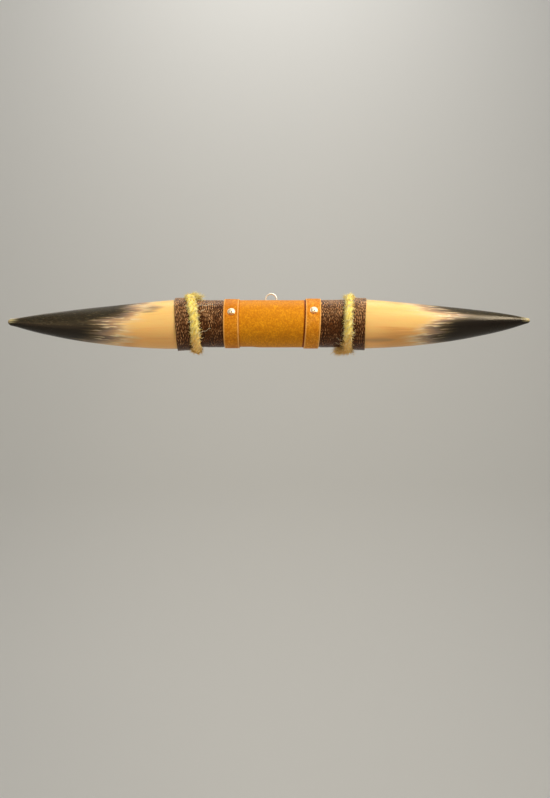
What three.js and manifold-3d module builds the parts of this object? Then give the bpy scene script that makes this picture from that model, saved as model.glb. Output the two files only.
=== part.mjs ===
// Wall hanging: two cattle horns end to end on a leather covered wooden core.
// Millimetres, +X to the right along the core, -Y to the front, +Z up.
// The origin is the inside top of the screw eye, where a hook carries the piece.

import * as THREE from 'three';
import { mergeVertices } from 'three/addons/utils/BufferGeometryUtils.js';
import Module from 'manifold-3d';

const wasm = await Module();
wasm.setup();

// Driving dimensions
const FIT_GAP = 0.3;
const CORE_RADIUS = 25.9;
const CORE_STRAIGHT = 62;
const BEND_START = 88;
const HORN_START = 96;
const TENON_LENGTH = 58;
const TENON_BASE_RADIUS = 20;
const TENON_END_RADIUS = 14;

const WRAP_RADIUS = 27.9;
const CUFF_END = 113;
const CUFF_STEP = 3;
const SKIVED_EDGE = 0.5;

const STRAP_WIDTH = 17.8;
const STRAP_THICKNESS = 1.6;
const STRAP_BEVEL = 0.4;
const STRAP_MARGIN = 1.5;
const PARED_SLOPE = 1;

const STUD_CAP_RADIUS = 4.5;
const STUD_CAP_HEIGHT = 2.1;
const STUD_RIM = 0.7;
const STUD_SHANK_RADIUS = 1.2;
const STUD_SHANK_LENGTH = 14;
const STUD_POINT = 2.5;

const ROPE_CENTRE_X = 91.4;
const ROPE_CENTRE_RADIUS = 31.9;
const ROPE_HALF_DEPTH = 3.0;
const ROPE_STRANDS = 3;
const ROPE_LOBE = 0.09;
const ROPE_LOBES_ROUND = 12;
const TAIL_THICKNESS = 3.2;
const TAIL_SPREAD = 1.3;
const TAIL_HEIGHT = 3.4;

const EYE_BACK = 16;
const EYE_CENTRE_HEIGHT = 31.9;
const EYE_OUTER_RADIUS = 7.8;
const EYE_WIRE_RADIUS = 1.1;
const EYE_SHANK_LENGTH = 17;
const EYE_THREAD_PITCH = 1.6;
const EYE_THREAD_DEPTH = 0.35;
const EYE_BARE_NECK = 2;
const EYE_POINT = 2;

const ROUND_SEGMENTS = 28;
const HORN_RINGS = 14;
const RING_CROWDING = 0.85;
const NOSE_STEPS = 4;
const ROPE_STEPS = 66;
const ROPE_SIDES = 8;
const TAIL_STEPS = 6;
const DOME_STEPS = 4;
const SMALL_SEGMENTS = 12;
const SHANK_SEGMENTS = 8;
const LOOP_SEGMENTS = 24;
const TOOL_TOP = 2 * CORE_RADIUS;
const HEADING_STEP = 0.5;

// The two sides. x runs outwards from the middle on both, and the sign turns it into +X or -X.
// The horn's spine bends forward by reach and sags by sag; its radius follows
// baseRadius * (1 - share ** fullness) ** roundness from the base, and ends in a nose of noseRadius.
const LEFT = {
  name: 'left', sign: -1, tipX: 298.8, reach: 39, earlyBend: 0.42, sag: 4.2, sagWaves: 0.78,
  baseRadius: 29.6, fullness: 1.5, roundness: 0.69, noseRadius: 4.0,
  sleeveRadius: 28.0, cuffRadius: 31.4, jointX: 52, strapX: 46.4, strapSeat: 27.4, strapLean: 0,
  studX: 45.7, studElevation: THREE.MathUtils.degToRad(22),
  ropeHalfWidth: 4.7, tailAngle: 78, tailLength: 9, tailTip: 2.0,
};
const RIGHT = {
  name: 'right', sign: 1, tipX: 294.5, reach: 39.5, earlyBend: 0.68, sag: 3.0, sagWaves: 0.88,
  baseRadius: 29.5, fullness: 1.45, roundness: 0.68, noseRadius: 3.0,
  sleeveRadius: 28.2, cuffRadius: 30.9, jointX: 54, strapX: 48.9, strapSeat: 27.9,
  strapLean: THREE.MathUtils.degToRad(2.3), studX: 49.5, studElevation: THREE.MathUtils.degToRad(25),
  ropeHalfWidth: 4.1, tailAngle: -93, tailLength: 17, tailTip: 2.2,
};

// Finishes
const finish = (name, color, roughness, metalness = 0) => (
  new THREE.MeshStandardMaterial({ name, color, roughness, metalness })
);
const HORN = finish('polished horn', 0xe6c389, 0.3);
const TAN_LEATHER = finish('tan leather', 0xd98a25, 0.55);
const STRAP_LEATHER = finish('strap leather', 0xd58f38, 0.5);
const BROWN_LEATHER = finish('brown leather', 0x5f3c24, 0.5);
const ROPE_FIBRE = finish('rope fibre', 0xe6cf72, 0.9);
const WOOD = finish('turned wood', 0xb98a55, 0.7);
const NICKEL = finish('nickel', 0xd8cdb8, 0.25, 1);
const STEEL = finish('plated wire', 0xcfc9bc, 0.3, 1);

// Centre line of one side at x outwards from the middle.
function spine(side, x) {
  const share = Math.max(0, x - BEND_START) / (side.tipX - BEND_START);
  const forward = side.reach * (side.earlyBend * share + (1 - side.earlyBend) * share * share);
  const drop = side.sag * Math.sin(Math.PI * side.sagWaves * share);
  return new THREE.Vector3(side.sign * x, -forward, -drop);
}

// Outward direction of the centre line. It eases in under the leather, ahead of the bend.
function heading(side, x) {
  const bentX = Math.max(x, BEND_START);
  const bent = spine(side, bentX + 2 * HEADING_STEP).sub(spine(side, bentX)).normalize();
  const ease = THREE.MathUtils.smoothstep(x, CORE_STRAIGHT, BEND_START);
  return new THREE.Vector3(side.sign, 0, 0).lerp(bent, ease).normalize();
}

// One ring of points round the centre line, or a single pole point where the radius is 0.
function ring(side, x, radius, segments = ROUND_SEGMENTS) {
  const centre = spine(side, x);
  if (radius === 0) return [centre];
  const along = heading(side, x).multiplyScalar(side.sign);
  const up = new THREE.Vector3(0, 0, 1).addScaledVector(along, -along.z).normalize();
  const across = new THREE.Vector3().crossVectors(up, along);
  const points = [];
  for (let i = 0; i < segments; i += 1) {
    const angle = (2 * Math.PI * i) / segments;
    const point = centre.clone().addScaledVector(across, radius * Math.cos(angle));
    points.push(point.addScaledVector(up, radius * Math.sin(angle)));
  }
  return points;
}

// Six times the signed volume of a triangle list.
function signedVolume(points, triangles) {
  let sum = 0;
  for (const [a, b, c] of triangles) {
    sum += points[a].dot(new THREE.Vector3().crossVectors(points[b], points[c]));
  }
  return sum;
}

// Skin over a row of rings. It closes on itself, or ends in a pole at either end.
function skin(rings, closed) {
  const points = rings.flat();
  const starts = [];
  let count = 0;
  for (const r of rings) {
    starts.push(count);
    count += r.length;
  }
  const triangles = [];
  const last = closed ? rings.length : rings.length - 1;
  for (let i = 0; i < last; i += 1) {
    const j = (i + 1) % rings.length;
    const size = Math.max(rings[i].length, rings[j].length);
    for (let k = 0; k < size; k += 1) {
      const next = (k + 1) % size;
      const a = starts[i] + (rings[i].length > 1 ? k : 0);
      const b = starts[i] + (rings[i].length > 1 ? next : 0);
      const c = starts[j] + (rings[j].length > 1 ? k : 0);
      const d = starts[j] + (rings[j].length > 1 ? next : 0);
      if (rings[i].length > 1) triangles.push([a, b, c]);
      if (rings[j].length > 1) triangles.push([b, d, c]);
    }
  }
  if (signedVolume(points, triangles) < 0) triangles.forEach((t) => t.reverse());
  const geometry = new THREE.BufferGeometry().setFromPoints(points);
  geometry.setIndex(triangles.flat());
  return geometry;
}

function toSolid(geometry) {
  const bare = new THREE.BufferGeometry();
  bare.setAttribute('position', geometry.getAttribute('position'));
  bare.setIndex(geometry.getIndex());
  const merged = mergeVertices(bare, 1e-4);
  const vertProperties = new Float32Array(merged.getAttribute('position').array);
  const triVerts = new Uint32Array(merged.getIndex().array);
  return new wasm.Manifold(new wasm.Mesh({ numProp: 3, vertProperties, triVerts }));
}

function fromSolid(solid) {
  const mesh = solid.getMesh();
  const geometry = new THREE.BufferGeometry();
  geometry.setAttribute('position', new THREE.BufferAttribute(new Float32Array(mesh.vertProperties), 3));
  geometry.setIndex(new THREE.BufferAttribute(new Uint32Array(mesh.triVerts), 1));
  return geometry;
}

const cut = (geometry, tools) => fromSolid(tools.reduce((s, t) => s.subtract(toSolid(t)), toSolid(geometry)));
const join = (geometries) => fromSolid(geometries.map(toSolid).reduce((all, next) => all.add(next)));

function piece(name, geometry, material) {
  geometry.computeVertexNormals();
  const mesh = new THREE.Mesh(geometry, material);
  mesh.name = name;
  return mesh;
}

// Round bar with its axis along +Z, from a list of [radius, height] corners.
function turned(corners, segments = SMALL_SEGMENTS) {
  const outline = corners.map(([radius, height]) => new THREE.Vector2(radius, height));
  return new THREE.LatheGeometry(outline, segments).rotateX(Math.PI / 2);
}

// Holes that the studs and the screw eye go through
function studPlace(side) {
  const lean = Math.tan(side.strapLean) * (side.strapSeat * Math.sin(side.studElevation));
  return new THREE.Matrix4()
    .makeTranslation(side.sign * side.studX + lean, 0, 0)
    .multiply(new THREE.Matrix4().makeRotationX(Math.PI / 2 - side.studElevation));
}

function studHole(side) {
  const radius = STUD_SHANK_RADIUS + FIT_GAP;
  const bottom = strapTop(side) - STUD_SHANK_LENGTH - FIT_GAP;
  return turned([[0, bottom], [radius, bottom], [radius, TOOL_TOP], [0, TOOL_TOP]])
    .applyMatrix4(studPlace(side));
}

function eyeHole() {
  const radius = EYE_WIRE_RADIUS + EYE_THREAD_DEPTH + FIT_GAP;
  const bottom = EYE_CENTRE_HEIGHT - EYE_OUTER_RADIUS - EYE_SHANK_LENGTH - FIT_GAP;
  return turned([[0, bottom], [radius, bottom], [radius, TOOL_TOP], [0, TOOL_TOP]])
    .translate(0, EYE_BACK, 0);
}

const holes = () => [studHole(LEFT), studHole(RIGHT), eyeHole()];
const strapTop = (side) => side.strapSeat + FIT_GAP + STRAP_THICKNESS;

// Wooden core: straight rod with a tenon at each end that follows the horn
function woodenCore() {
  const rings = [];
  for (const side of [LEFT, RIGHT]) {
    const shoulder = HORN_START - FIT_GAP;
    const half = [
      ring(side, CORE_STRAIGHT, CORE_RADIUS),
      ring(side, (CORE_STRAIGHT + BEND_START) / 2, CORE_RADIUS),
      ring(side, BEND_START, CORE_RADIUS),
      ring(side, shoulder, CORE_RADIUS),
      ring(side, shoulder, TENON_BASE_RADIUS),
      ring(side, shoulder + TENON_LENGTH / 2, (TENON_BASE_RADIUS + TENON_END_RADIUS) / 2),
      ring(side, shoulder + TENON_LENGTH, TENON_END_RADIUS),
      ring(side, shoulder + TENON_LENGTH, 0),
    ];
    if (side.sign < 0) rings.push(...half.reverse());
    else rings.push(...half);
  }
  return piece('wooden_core', cut(skin(rings, false), holes()), WOOD);
}

// The taper flattens out at the nose radius as it nears the tip.
function hornRadius(side, x) {
  const share = (x - HORN_START) / (side.tipX - HORN_START);
  const taper = side.baseRadius * (1 - share ** side.fullness) ** side.roundness;
  return (taper ** 4 + side.noseRadius ** 4) ** 0.25;
}

// Horn: solid to its round nose, with the natural hollow of its base round the tenon
function horn(side) {
  const noseStart = side.tipX - side.noseRadius;
  const hollowEnd = HORN_START + TENON_LENGTH;
  const rings = [
    ring(side, hollowEnd, 0),
    ring(side, hollowEnd, TENON_END_RADIUS + FIT_GAP),
    ring(side, HORN_START + TENON_LENGTH / 2, (TENON_BASE_RADIUS + TENON_END_RADIUS) / 2 + FIT_GAP),
    ring(side, HORN_START, TENON_BASE_RADIUS + FIT_GAP),
  ];
  for (let i = 0; i < HORN_RINGS; i += 1) {
    const x = THREE.MathUtils.lerp(HORN_START, noseStart, (i / (HORN_RINGS - 1)) ** RING_CROWDING);
    rings.push(ring(side, x, hornRadius(side, x)));
  }
  for (let i = 1; i < NOSE_STEPS; i += 1) {
    const angle = (i * Math.PI) / (2 * NOSE_STEPS);
    const x = noseStart + side.noseRadius * Math.sin(angle);
    rings.push(ring(side, x, hornRadius(side, x) * Math.cos(angle)));
  }
  rings.push(ring(side, side.tipX, 0));
  return piece(`horn_${side.name}`, skin(rings, false), HORN);
}

// Closed tube round the centre line from a list of [x, radius] corners
function tube(side, corners, segments = ROUND_SEGMENTS) {
  return skin(corners.map(([x, radius]) => ring(side, x, radius, segments)), true);
}

// Leather sleeve: flat under the strap, straight to the rope, then up to the cuff over the horn
function sleeve(side) {
  const inside = CORE_RADIUS + FIT_GAP;
  const strapEdge = side.strapX + STRAP_WIDTH / 2 + STRAP_MARGIN;
  const cuffInside = side.baseRadius + FIT_GAP;
  const corners = [
    [side.jointX, inside],
    [side.jointX, side.strapSeat],
    [strapEdge, side.strapSeat],
    [strapEdge + PARED_SLOPE, side.sleeveRadius],
    [(strapEdge + BEND_START) / 2, side.sleeveRadius],
    [BEND_START, side.sleeveRadius],
    [HORN_START - CUFF_STEP / 3, side.sleeveRadius],
    [HORN_START + (2 * CUFF_STEP) / 3, side.cuffRadius],
    [CUFF_END - SKIVED_EDGE, side.cuffRadius],
    [CUFF_END, side.cuffRadius - SKIVED_EDGE],
    [CUFF_END, cuffInside],
    [HORN_START - FIT_GAP, cuffInside],
    [HORN_START - 2 * FIT_GAP, inside],
    [BEND_START, inside],
    [(CORE_STRAIGHT + BEND_START) / 2, inside],
    [CORE_STRAIGHT, inside],
  ];
  return piece(`sleeve_${side.name}`, tube(side, corners), BROWN_LEATHER);
}

// Tan wrap between the sleeves. Its ends are pared thin where the straps press on them,
// and its x runs from the left end, below 0, to the right end.
function centreWrap() {
  const inside = CORE_RADIUS + FIT_GAP;
  const leftEnd = LEFT.jointX - FIT_GAP;
  const rightEnd = RIGHT.jointX - FIT_GAP;
  const leftStrap = LEFT.strapX - STRAP_WIDTH / 2 - STRAP_MARGIN;
  const rightStrap = RIGHT.strapX - STRAP_WIDTH / 2 - STRAP_MARGIN;
  const corners = [
    [-leftEnd, inside],
    [-leftEnd, LEFT.strapSeat],
    [-leftStrap, LEFT.strapSeat],
    [-leftStrap + PARED_SLOPE, WRAP_RADIUS],
    [rightStrap - PARED_SLOPE, WRAP_RADIUS],
    [rightStrap, RIGHT.strapSeat],
    [rightEnd, RIGHT.strapSeat],
    [rightEnd, inside],
  ];
  return piece('centre_wrap', cut(tube(RIGHT, corners), holes()), TAN_LEATHER);
}

// Strap: a band with bevelled edges. The right one leans a little, as it was tied on.
function strap(side) {
  const half = STRAP_WIDTH / 2;
  const inside = side.strapSeat + FIT_GAP;
  const outside = strapTop(side);
  const corners = [
    [side.strapX - half, inside],
    [side.strapX - half, outside - STRAP_BEVEL],
    [side.strapX - half + STRAP_BEVEL, outside],
    [side.strapX + half - STRAP_BEVEL, outside],
    [side.strapX + half, outside - STRAP_BEVEL],
    [side.strapX + half, inside],
  ];
  const band = tube(side, corners);
  band.applyMatrix4(new THREE.Matrix4().makeShear(0, 0, 0, 0, Math.tan(side.strapLean), 0));
  return piece(`strap_${side.name}`, cut(band, [studHole(side)]), STRAP_LEATHER);
}

// Stud: domed cap on the strap, and a pointed shank through the leather into the core
function stud(side) {
  const under = strapTop(side) + FIT_GAP;
  const corners = [[0, under - STUD_SHANK_LENGTH]];
  corners.push([STUD_SHANK_RADIUS, under - STUD_SHANK_LENGTH + STUD_POINT]);
  corners.push([STUD_SHANK_RADIUS, under], [STUD_CAP_RADIUS, under], [STUD_CAP_RADIUS, under + STUD_RIM]);
  for (let i = 1; i < DOME_STEPS; i += 1) {
    const angle = (i * Math.PI) / (2 * DOME_STEPS);
    const rise = (STUD_CAP_HEIGHT - STUD_RIM) * Math.sin(angle);
    corners.push([STUD_CAP_RADIUS * Math.cos(angle), under + STUD_RIM + rise]);
  }
  corners.push([0, under + STUD_CAP_HEIGHT]);
  const geometry = turned(corners).applyMatrix4(studPlace(side));
  return piece(`stud_${side.name}`, geometry, NICKEL);
}

// Rope: a closed ring whose lobed section winds round, with one short end left free
function rope(side) {
  const centre = spine(side, ROPE_CENTRE_X);
  const along = heading(side, ROPE_CENTRE_X);
  const up = new THREE.Vector3(0, 0, 1).addScaledVector(along, -along.z).normalize();
  const across = new THREE.Vector3().crossVectors(up, along).multiplyScalar(side.sign);
  const outwards = (angle) => new THREE.Vector3()
    .addScaledVector(across, Math.cos(angle)).addScaledVector(up, Math.sin(angle));
  const rings = [];
  for (let i = 0; i < ROPE_STEPS; i += 1) {
    const share = i / ROPE_STEPS;
    const out = outwards(2 * Math.PI * share);
    const section = [];
    for (let k = 0; k < ROPE_SIDES; k += 1) {
      const turn = (2 * Math.PI * k) / ROPE_SIDES;
      const lobe = 1 + ROPE_LOBE * Math.cos(ROPE_STRANDS * turn - 2 * Math.PI * ROPE_LOBES_ROUND * share);
      section.push(centre.clone()
        .addScaledVector(out, ROPE_CENTRE_RADIUS + ROPE_HALF_DEPTH * lobe * Math.cos(turn))
        .addScaledVector(along, side.ropeHalfWidth * lobe * Math.sin(turn)));
    }
    rings.push(section);
  }
  const start = outwards(THREE.MathUtils.degToRad(side.tailAngle));
  const tail = ropeTail(side, centre, start, along);
  return piece(`rope_${side.name}`, join([skin(rings, true), tail]), ROPE_FIBRE);
}

// Free end of a rope: it leaves the ring towards the middle and lies close along the sleeve
function ropeTail(side, centre, out, along) {
  const rings = [];
  const sideways = new THREE.Vector3().crossVectors(out, along);
  for (let i = 0; i <= TAIL_STEPS; i += 1) {
    const share = i / TAIL_STEPS;
    const thick = THREE.MathUtils.lerp(TAIL_THICKNESS, side.tailTip, share);
    const middle = centre.clone()
      .addScaledVector(out, side.sleeveRadius + TAIL_HEIGHT)
      .addScaledVector(along, -share * side.tailLength);
    const section = [];
    for (let k = 0; k < ROPE_SIDES; k += 1) {
      const turn = (2 * Math.PI * k) / ROPE_SIDES;
      section.push(middle.clone()
        .addScaledVector(out, thick * Math.cos(turn))
        .addScaledVector(sideways, TAIL_SPREAD * thick * Math.sin(turn)));
    }
    if (i === 0) rings.push([middle]);
    rings.push(section);
    if (i === TAIL_STEPS) rings.push([middle]);
  }
  return skin(rings, false);
}

// Screw eye: a ring of wire parallel to the wall, on a threaded shank
function screwEye() {
  const middleRadius = EYE_OUTER_RADIUS - EYE_WIRE_RADIUS;
  const loop = new THREE.TorusGeometry(middleRadius, EYE_WIRE_RADIUS, SHANK_SEGMENTS, LOOP_SEGMENTS);
  loop.rotateX(Math.PI / 2).translate(0, EYE_BACK, EYE_CENTRE_HEIGHT);
  const top = EYE_CENTRE_HEIGHT - middleRadius;
  const neck = EYE_CENTRE_HEIGHT - EYE_OUTER_RADIUS;
  const corners = [[0, top], [EYE_WIRE_RADIUS, top]];
  const turns = Math.floor((EYE_SHANK_LENGTH - EYE_BARE_NECK - EYE_POINT) / EYE_THREAD_PITCH);
  for (let i = 0; i < turns; i += 1) {
    const z = neck - EYE_BARE_NECK - i * EYE_THREAD_PITCH;
    corners.push([EYE_WIRE_RADIUS, z], [EYE_WIRE_RADIUS + EYE_THREAD_DEPTH, z - EYE_THREAD_PITCH / 2]);
  }
  corners.push([0, neck - EYE_SHANK_LENGTH]);
  const shank = turned(corners.reverse(), SHANK_SEGMENTS).translate(0, EYE_BACK, 0);
  return piece('screw_eye', join([loop, shank]), STEEL);
}

const hanging = new THREE.Group();
hanging.position.set(0, -EYE_BACK, -(EYE_CENTRE_HEIGHT + EYE_OUTER_RADIUS - 2 * EYE_WIRE_RADIUS));
hanging.add(woodenCore(), centreWrap(), screwEye());
for (const side of [LEFT, RIGHT]) {
  hanging.add(horn(side), sleeve(side), strap(side), stud(side), rope(side));
}

const mountedHorn = new THREE.Group();
mountedHorn.add(hanging);

export default mountedHorn;
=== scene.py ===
"""Looks of a wall hanging: two cattle horns end to end on a leather covered core.

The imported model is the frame. Sizes are in millimetres from the middle of the core. On each side
x runs outwards from the middle, and turn is the angle round the core in radians: 0 at the front,
a quarter turn at the top and a half turn at the back.
"""

import logging
import math
from dataclasses import dataclass
from enum import Enum
from typing import Any, Mapping, Optional, Protocol, Sequence, Union

import bpy
import numpy as np
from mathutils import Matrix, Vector


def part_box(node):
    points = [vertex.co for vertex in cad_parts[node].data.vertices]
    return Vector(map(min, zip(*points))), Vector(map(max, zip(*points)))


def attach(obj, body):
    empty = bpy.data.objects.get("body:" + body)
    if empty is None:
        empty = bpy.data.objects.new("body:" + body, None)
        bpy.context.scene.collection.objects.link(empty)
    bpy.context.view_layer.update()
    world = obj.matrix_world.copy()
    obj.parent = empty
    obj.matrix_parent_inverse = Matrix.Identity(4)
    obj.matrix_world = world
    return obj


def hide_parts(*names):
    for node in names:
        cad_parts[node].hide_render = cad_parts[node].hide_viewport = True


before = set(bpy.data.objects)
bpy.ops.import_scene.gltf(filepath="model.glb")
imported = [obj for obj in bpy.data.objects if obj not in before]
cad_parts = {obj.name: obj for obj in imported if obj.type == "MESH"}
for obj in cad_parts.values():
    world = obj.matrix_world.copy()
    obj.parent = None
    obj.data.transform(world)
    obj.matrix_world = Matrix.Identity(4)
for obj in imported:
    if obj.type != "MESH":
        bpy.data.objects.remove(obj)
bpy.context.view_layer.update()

log = logging.getLogger("mounted_horn")

MM = 0.001
DECIMETRE = 100.0
FULL_TURN = 2 * math.pi
QUARTER_TURN = math.pi / 2
WRAP_LOW, WRAP_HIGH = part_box("centre_wrap")
CORE_AXIS = np.array([0.0, (WRAP_LOW.y + WRAP_HIGH.y) / 2, (WRAP_LOW.z + WRAP_HIGH.z) / 2])

BEND_START = 88.0
EASE_START = 62.0
HORN_START = 96.0
CORE_RADIUS = 25.9
FIT_GAP = 0.3
STRAP_WIDTH = 17.8
STRAP_THICKNESS = 1.6
ROPE_X = 91.4
CUFF_STEP = 3.0
EYE_BACK = 16.0
TINY = 1e-12

Array = np.ndarray
Colour = tuple[float, float, float, float]
Triple = tuple[float, float, float]
Socket = bpy.types.NodeSocket


def paint(code: str) -> Colour:
    """Turn a six figure screen colour into the linear values that shaders use.

    Args:
        code: red, green and blue as two hexadecimal figures each.

    Returns:
        Linear red, green, blue and an alpha of 1.
    """
    parts = [int(code[i:i + 2], 16) / 255 for i in (0, 2, 4)]
    linear = [p / 12.92 if p <= 0.04045 else ((p + 0.055) / 1.055) ** 2.4 for p in parts]
    return (linear[0], linear[1], linear[2], 1.0)


def ease(values: Array, low: float, high: float) -> Array:
    """Rise smoothly from 0 at low to 1 at high.

    Args:
        values: where to measure.
        low: where the rise starts.
        high: where the rise ends, which may be below low.

    Returns:
        The rise at each value, between 0 and 1.
    """
    share = np.clip((values - low) / (high - low), 0.0, 1.0)
    return share * share * (3 - 2 * share)


def hump(values: Array, centre: float, width: float) -> Array:
    """A smooth hump of height 1 at the centre that has faded out a width away."""
    return np.exp(-(((values - centre) / width) ** 2) * 2.5)


def turn_gap(turn: Array, centre: float) -> Array:
    """Signed angle from a centre turn, the short way round."""
    return (turn - centre + math.pi) % FULL_TURN - math.pi


def cuff_rise(x: Array) -> Array:
    """Rise from the sleeve, where it is 0, to the cuff over the horn, where it is 1."""
    return ease(x, HORN_START - CUFF_STEP / 3, HORN_START + CUFF_STEP * 2 / 3)


@dataclass(frozen=True)
class Side:
    """One half of the hanging, with the sizes that its pieces share."""

    name: str
    sign: int
    tip_x: float
    reach: float
    early_bend: float
    sag: float
    sag_waves: float
    base_radius: float
    fullness: float
    roundness: float
    nose_radius: float
    sleeve_radius: float
    cuff_radius: float
    joint_x: float
    strap_x: float
    strap_seat: float
    strap_lean: float
    stud_x: float
    stud_elevation: float
    rope_half_width: float

    def spine(self, x: Array) -> Array:
        """Centre line of the side.

        Args:
            x: distances outwards from the middle.

        Returns:
            One point for each distance.
        """
        share = np.maximum(0.0, x - BEND_START) / (self.tip_x - BEND_START)
        forward = self.reach * (self.early_bend * share + (1 - self.early_bend) * share**2)
        drop = self.sag * np.sin(math.pi * self.sag_waves * share)
        return np.stack([self.sign * x, -forward, -drop], axis=-1)

    def heading(self, x: Array) -> Array:
        """Direction of the centre line, towards +X on both sides.

        Args:
            x: distances outwards from the middle.

        Returns:
            One unit vector for each distance.
        """
        bent_x = np.maximum(x, BEND_START)
        bent = unit(self.spine(bent_x + 1.0) - self.spine(bent_x))
        share = ease(x, EASE_START, BEND_START)[:, None]
        straight = np.array([float(self.sign), 0.0, 0.0])
        return unit(straight * (1 - share) + bent * share) * self.sign

    def axes(self, x: Array) -> tuple[Array, Array, Array]:
        """The three directions of the centre line.

        Args:
            x: distances outwards from the middle.

        Returns:
            Unit vectors along the centre line, towards the front and upwards.
        """
        along = self.heading(x)
        up = unit(np.array([0.0, 0.0, 1.0]) - along * along[:, 2:3])
        return along, np.cross(along, up), up

    def shell(self, x: Array, turn: Array, radius: Array) -> Array:
        """Points on rings round the centre line.

        Args:
            x: where each ring stands, one number a ring.
            turn: the angles round the ring.
            radius: distance from the centre line, one row a ring.

        Returns:
            Points in rings, of the shape rings by turns by 3.
        """
        _, front, up = self.axes(x)
        outwards = (np.cos(turn)[None, :, None] * front[:, None, :]
                    + np.sin(turn)[None, :, None] * up[:, None, :])
        return self.spine(x)[:, None, :] + radius[:, :, None] * outwards

    def point(self, x: Array, turn: Array, radius: Array) -> Array:
        """Single points round the centre line.

        Args:
            x: distances outwards from the middle.
            turn: the angle of each point.
            radius: how far each point is from the centre line.

        Returns:
            One point for each set of x, turn and radius.
        """
        _, front, up = self.axes(x)
        outwards = np.cos(turn)[:, None] * front + np.sin(turn)[:, None] * up
        return self.spine(x) + radius[:, None] * outwards

    def leather_radius(self, x: Array) -> Array:
        """Outer radius of the sleeve and its cuff at each x."""
        return self.sleeve_radius + (self.cuff_radius - self.sleeve_radius) * cuff_rise(x)

    def strap_edge(self) -> float:
        """Distance of the strap's outer edge from the middle."""
        return self.strap_x + STRAP_WIDTH / 2

    def strap_top(self) -> float:
        """Outer radius of the strap."""
        return self.strap_seat + FIT_GAP + STRAP_THICKNESS


def unit(vectors: Array) -> Array:
    """Scale vectors to a length of 1."""
    return vectors / np.maximum(np.linalg.norm(vectors, axis=-1, keepdims=True), TINY)


LEFT = Side(name="left", sign=-1, tip_x=298.8, reach=39.0, early_bend=0.42, sag=4.2,
            sag_waves=0.78, base_radius=29.6, fullness=1.5, roundness=0.69, nose_radius=4.0,
            sleeve_radius=28.0, cuff_radius=31.4, joint_x=52.0, strap_x=46.4, strap_seat=27.4,
            strap_lean=0.0, stud_x=45.7, stud_elevation=math.radians(22), rope_half_width=4.7)
RIGHT = Side(name="right", sign=1, tip_x=294.5, reach=39.5, early_bend=0.68, sag=3.0,
             sag_waves=0.88, base_radius=29.5, fullness=1.45, roundness=0.68, nose_radius=3.0,
             sleeve_radius=28.2, cuff_radius=30.9, joint_x=54.0, strap_x=48.9, strap_seat=27.9,
             strap_lean=math.radians(2.3), stud_x=49.5, stud_elevation=math.radians(25),
             rope_half_width=4.1)


@dataclass(frozen=True)
class Swell:
    """Soft noise on a surface: its height, its size along the surface and its size round it."""

    height: float
    length: float
    width: float


class Grain:
    """Repeatable noise over an unrolled round surface, in millimetres."""

    def __init__(self, seed: int, around: float) -> None:
        """Start the noise from a seed, for a surface that is so far round."""
        self.draw = np.random.default_rng(seed)
        self.around = around

    def clouds(self, along: Array, across: Array, length: float, width: float) -> Array:
        """Soft noise between -1 and 1.

        Args:
            along: distance along the surface, from any start.
            across: distance round the surface.
            length: size of the noise along the surface.
            width: size of the noise round it.

        Returns:
            One value a point.
        """
        columns = max(3, round(self.around / width))
        rows = int((along.max() - along.min()) / length) + 4
        table = self.draw.uniform(-1, 1, (rows, columns))
        u = (along - along.min()) / length + 1
        v = across / self.around * columns
        iu, iv = np.floor(u).astype(int), np.floor(v).astype(int)
        fu, fv = ease(u - iu, 0, 1), ease(v - iv, 0, 1)
        corner = [[table[(iu + a) % rows, (iv + b) % columns] for b in (0, 1)] for a in (0, 1)]
        low = corner[0][0] * (1 - fv) + corner[0][1] * fv
        high = corner[1][0] * (1 - fv) + corner[1][1] * fv
        return low * (1 - fu) + high * fu

    def swell(self, along: Array, across: Array, *layers: Swell) -> Array:
        """Sum of layers of soft noise, drawn in their order."""
        return sum(s.height * self.clouds(along, across, s.length, s.width) for s in layers)

    def pebbles(self, along: Array, across: Array, length: float, width: float) -> Array:
        """Close set round pebbles, 0 in the creases between them and 1 on their tops.

        Args:
            along: distance along the surface.
            across: distance round the surface.
            length: size of a pebble along the surface.
            width: size of a pebble round it.

        Returns:
            One value a point.
        """
        columns = max(3, round(self.around / width))
        rows = int((along.max() - along.min()) / length) + 5
        jitter = self.draw.uniform(0.05, 0.95, (rows, columns, 2))
        u = (along - along.min()) / length + 2
        v = across / self.around * columns
        iu, iv = np.floor(u).astype(int), np.floor(v).astype(int)
        nearest = np.full(u.shape, 9.0)
        second = np.full(u.shape, 9.0)
        for a in (-1, 0, 1):
            for b in (-1, 0, 1):
                spot = jitter[(iu + a) % rows, (iv + b) % columns]
                gap = np.hypot(iu + a + spot[..., 0] - u, iv + b + spot[..., 1] - v)
                second = np.minimum(second, np.maximum(nearest, gap))
                nearest = np.minimum(nearest, gap)
        return ease(second - nearest, 0.0, 0.55)


def placed(name: str, data: bpy.types.ID) -> bpy.types.Object:
    """Make an object and put it in the scene.

    Args:
        name: the object's name.
        data: its mesh, light or camera.

    Returns:
        The new object.
    """
    made = bpy.data.objects.new(name, data)
    bpy.context.collection.objects.link(made)
    return made


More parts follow.
